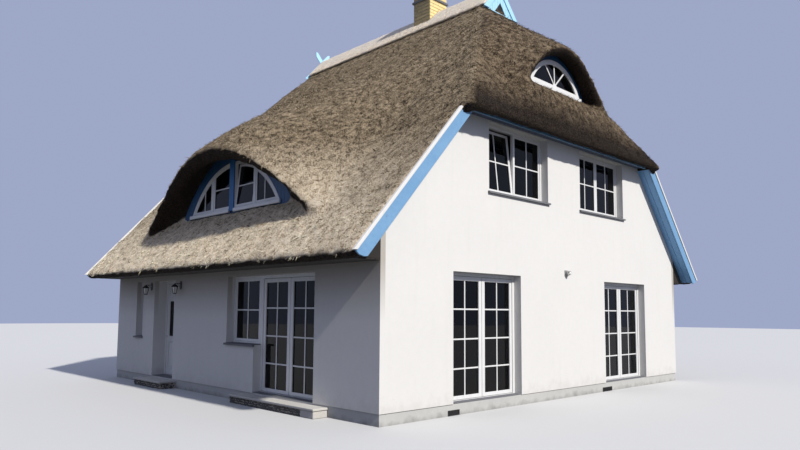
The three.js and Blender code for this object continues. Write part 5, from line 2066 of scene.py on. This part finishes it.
@dataclass
class WallLantern:
    """A black iron lantern on a bracket, with six panes, a pointed roof and a finial."""

    side: str
    place: Point
    reach: float = 0.14
    sides: int = 6

    def build(self) -> None:
        """Make plate, bracket and lamp."""
        piece = Piece(f"iron_lantern_{self.side}", Wall.LEFT.matrix)
        a, z = self.place
        plate = [(-0.035, 0.03), (0, 0.005), (0.035, 0.03), (0.035, 0.17), (0, 0.193), (-0.035, 0.17)]
        piece.prism([(a + p, z + h) for p, h in plate], (-0.018, -SEAT), IRON, chamfer=EDGE)
        turns = np.linspace(0, math.pi / 2, 9)
        outer = [(-0.012 - 0.1 * turn / (math.pi / 2), z + 0.05 + 0.085 * math.sin(turn)) for turn in turns]
        inner = [(d * 0.93 - 0.001, h - 0.013) for d, h in outer[::-1]]
        piece.prism(outer + inner, (a - 0.006, a + 0.006), IRON, plane=Plane.SECTION, chamfer=0.002)
        piece.box((a - 0.008, -self.reach - 0.010, z + 0.124), (a + 0.008, -0.012, z + 0.137), IRON)
        self.lamp(piece, Vector((a, -self.reach, z)))
        piece.done("lamp", [f"wall_lantern_{self.side}"])

    def lamp(self, piece: Piece, centre: Vector) -> None:
        """Foot, glass, roof with its finial, and the glazing rods at the corners."""
        foot = [(0, -0.090), (0.030, -0.090), (0.044, -0.080), (0.044, -0.070), (0, -0.070)]
        glass = [(0, -0.0695), (0.036, -0.0695), (0.058, 0.055), (0, 0.055)]
        roof = [(0, 0.0555), (0.066, 0.0555), (0.082, 0.066), (0.050, 0.096), (0.016, 0.118), (0.012, 0.128),
                (0, 0.132)]
        for profile, finish in ((foot, IRON), (glass, MILK), (roof, IRON)):
            raised = [(r, centre.z + h) for r, h in profile]
            piece.lathe(raised, centre.xy, finish, Plane.PLAN, self.sides, smooth=False)
        for k in range(self.sides):
            angle = 2 * math.pi * (k + 0.5) / self.sides
            out = Vector((math.cos(angle), math.sin(angle), 0.0))
            low, high = out * 0.040 - Vector((0, 0, 0.072)), out * 0.062 + Vector((0, 0, 0.057))
            lean = (high - low).normalized().to_track_quat("Z", "Y").to_matrix().to_4x4()
            with piece.moved(Matrix.Translation(centre + low) @ lean):
                piece.box((-0.004, -0.004, 0), (0.004, 0.004, (high - low).length), IRON, 0.001)


@dataclass
class WallLight:
    """A small round bulkhead lamp on the gable: square plate, ring and glass."""

    centre: Point = (0.012, 2.435)

    def build(self) -> None:
        """Make plate, ring and glass."""
        piece = Piece("gable_light", Wall.FRONT.matrix)
        a, z = self.centre
        plate = rectangle(a - 0.06, a + 0.06, z - 0.055, z + 0.055)
        piece.prism(plate, (-0.020, -SEAT), GREY_METAL, chamfer=0.005)
        ring = [(0, -0.045), (0.052, -0.045), (0.054, -0.040), (0.054, -0.019), (0, -0.019)]
        glass = [(0, -0.111), (0.020, -0.108), (0.036, -0.098), (0.045, -0.080), (0.047, -0.046), (0, -0.046)]
        piece.lathe(ring, self.centre, GREY_METAL, steps=24)
        piece.lathe(glass, self.centre, MILK, steps=24)
        piece.prism(arc(0.050, z + 0.012, 0.030, 8), (-0.104, -0.044), GREY_METAL, chamfer=0.002)
        piece.done("lamp", ["wall_light"])


@dataclass
class Studio:
    """A pale floor, a sun from the gable's side, an even sky, and the photograph's camera."""

    frame_size: tuple[int, int] = (800, 450)
    focal_pixels: float = 660.232
    horizon_row: float = 251.679
    yaw: float = 0.772757
    pitch: float = 0.0895317
    roll: float = 0.0071771
    eye: Triple = (-11.5075, -11.87, 1.664)
    floor_radius: float = 70.0
    sun_turn: Triple = (51.0, 0.0, -3.0)
    sun_strength: float = 5.0
    sun_width: float = 2.5
    sun_colour: Colour = (1.0, 0.965, 0.91)
    sky: Colour = (0.60, 0.684, 1.0)
    sky_strength: float = 0.57

    def build(self) -> None:
        """Set up floor, lights and camera."""
        self.floor()
        self.lights()
        self.camera()

    def floor(self) -> None:
        """A wide round floor."""
        mesh = bpy.data.meshes.new("studio_floor")
        turns, radius = [2 * math.pi * i / 96 for i in range(96)], self.floor_radius
        ring = [(radius * math.cos(turn), radius * math.sin(turn), 0.0) for turn in turns]
        mesh.from_pydata(ring, [], [tuple(range(len(ring)))])
        mesh.materials.append(StudioFloor("studio_floor").material())
        floor = placed("studio_floor", mesh)

    def lights(self) -> None:
        """One sun and an even sky."""
        sun = bpy.data.lights.new("key", "SUN")
        sun.energy = self.sun_strength
        sun.angle = math.radians(self.sun_width)
        sun.color = self.sun_colour
        key = placed("key", sun)
        key.rotation_euler = tuple(map(math.radians, self.sun_turn))
        world = bpy.data.worlds.new("sky")
        world.use_nodes = True
        background = world.node_tree.nodes["Background"]
        background.inputs["Color"].default_value = (*self.sky, 1.0)
        background.inputs["Strength"].default_value = self.sky_strength
        bpy.context.scene.world = world
        bpy.context.scene.view_settings.view_transform = "Standard"

    def camera(self) -> None:
        """The photograph's place, aim and angle of view."""
        width, height = self.frame_size
        ahead = Vector((math.sin(self.yaw) * math.cos(self.pitch), math.cos(self.yaw) * math.cos(self.pitch),
                        math.sin(self.pitch)))
        level = Vector((math.cos(self.yaw), -math.sin(self.yaw), 0.0))
        over = level.cross(ahead)
        right = math.cos(self.roll) * level + math.sin(self.roll) * over
        up = -math.sin(self.roll) * level + math.cos(self.roll) * over
        data = bpy.data.cameras.new("camera")
        data.sensor_width = 36.0
        data.lens = self.focal_pixels / width * data.sensor_width
        data.shift_y = (self.horizon_row - height / 2) / width
        camera = placed("camera", data)
        rows = [(right[k], up[k], -ahead[k], self.eye[k]) for k in range(3)]
        camera.matrix_world = Matrix((*rows, (0, 0, 0, 1)))
        bpy.context.scene.camera = camera


def assemblies() -> list:
    """All sub-assemblies in the order in which they are built."""
    plain = [Casement("front_window_left", Wall.FRONT, tilted=True),
             Casement("front_window_right", Wall.FRONT),
             Casement("hall_window", Wall.LEFT, sashes=1, columns=1)]
    plain += [Casement(f"back_window_{row}_{side}", Wall.BACK)
              for row in ("lower", "upper") for side in ("left", "right")]
    plain += [Casement(f"right_window_{end}", Wall.RIGHT) for end in ("front", "back")]
    doors = [GlazedDoors("front_left_door", Wall.FRONT), GlazedDoors("front_right_door", Wall.FRONT),
             GlazedDoors("terrace_door", Wall.LEFT), EntranceDoor("entrance", Wall.LEFT)]
    dormers = [BroadDormer("left", Wall.LEFT, 0.05), BroadDormer("right", Wall.RIGHT, -0.05, tilted=False)]
    hoods = [HoodWindow("front", Wall.FRONT), HoodWindow("back", Wall.BACK)]
    lamps = [WallLantern("right", (-1.49, 2.08)), WallLantern("left", (-2.93, 2.08)), WallLight()]
    return [Studio(), Masonry(), ThatchRoof(), RidgeCap(), Chimney(), RoofTrim(), *plain, *doors, *dormers,
            *hoods, Steps(), *lamps]


def main() -> None:
    """Build every sub-assembly in order and log what is built."""
    logging.basicConfig(level=logging.INFO, format="%(message)s")
    for assembly in assemblies():
        LOG.info("building %s", type(assembly).__name__)
        assembly.build()
    bpy.context.view_layer.update()


if __name__ == "__main__":
    main()
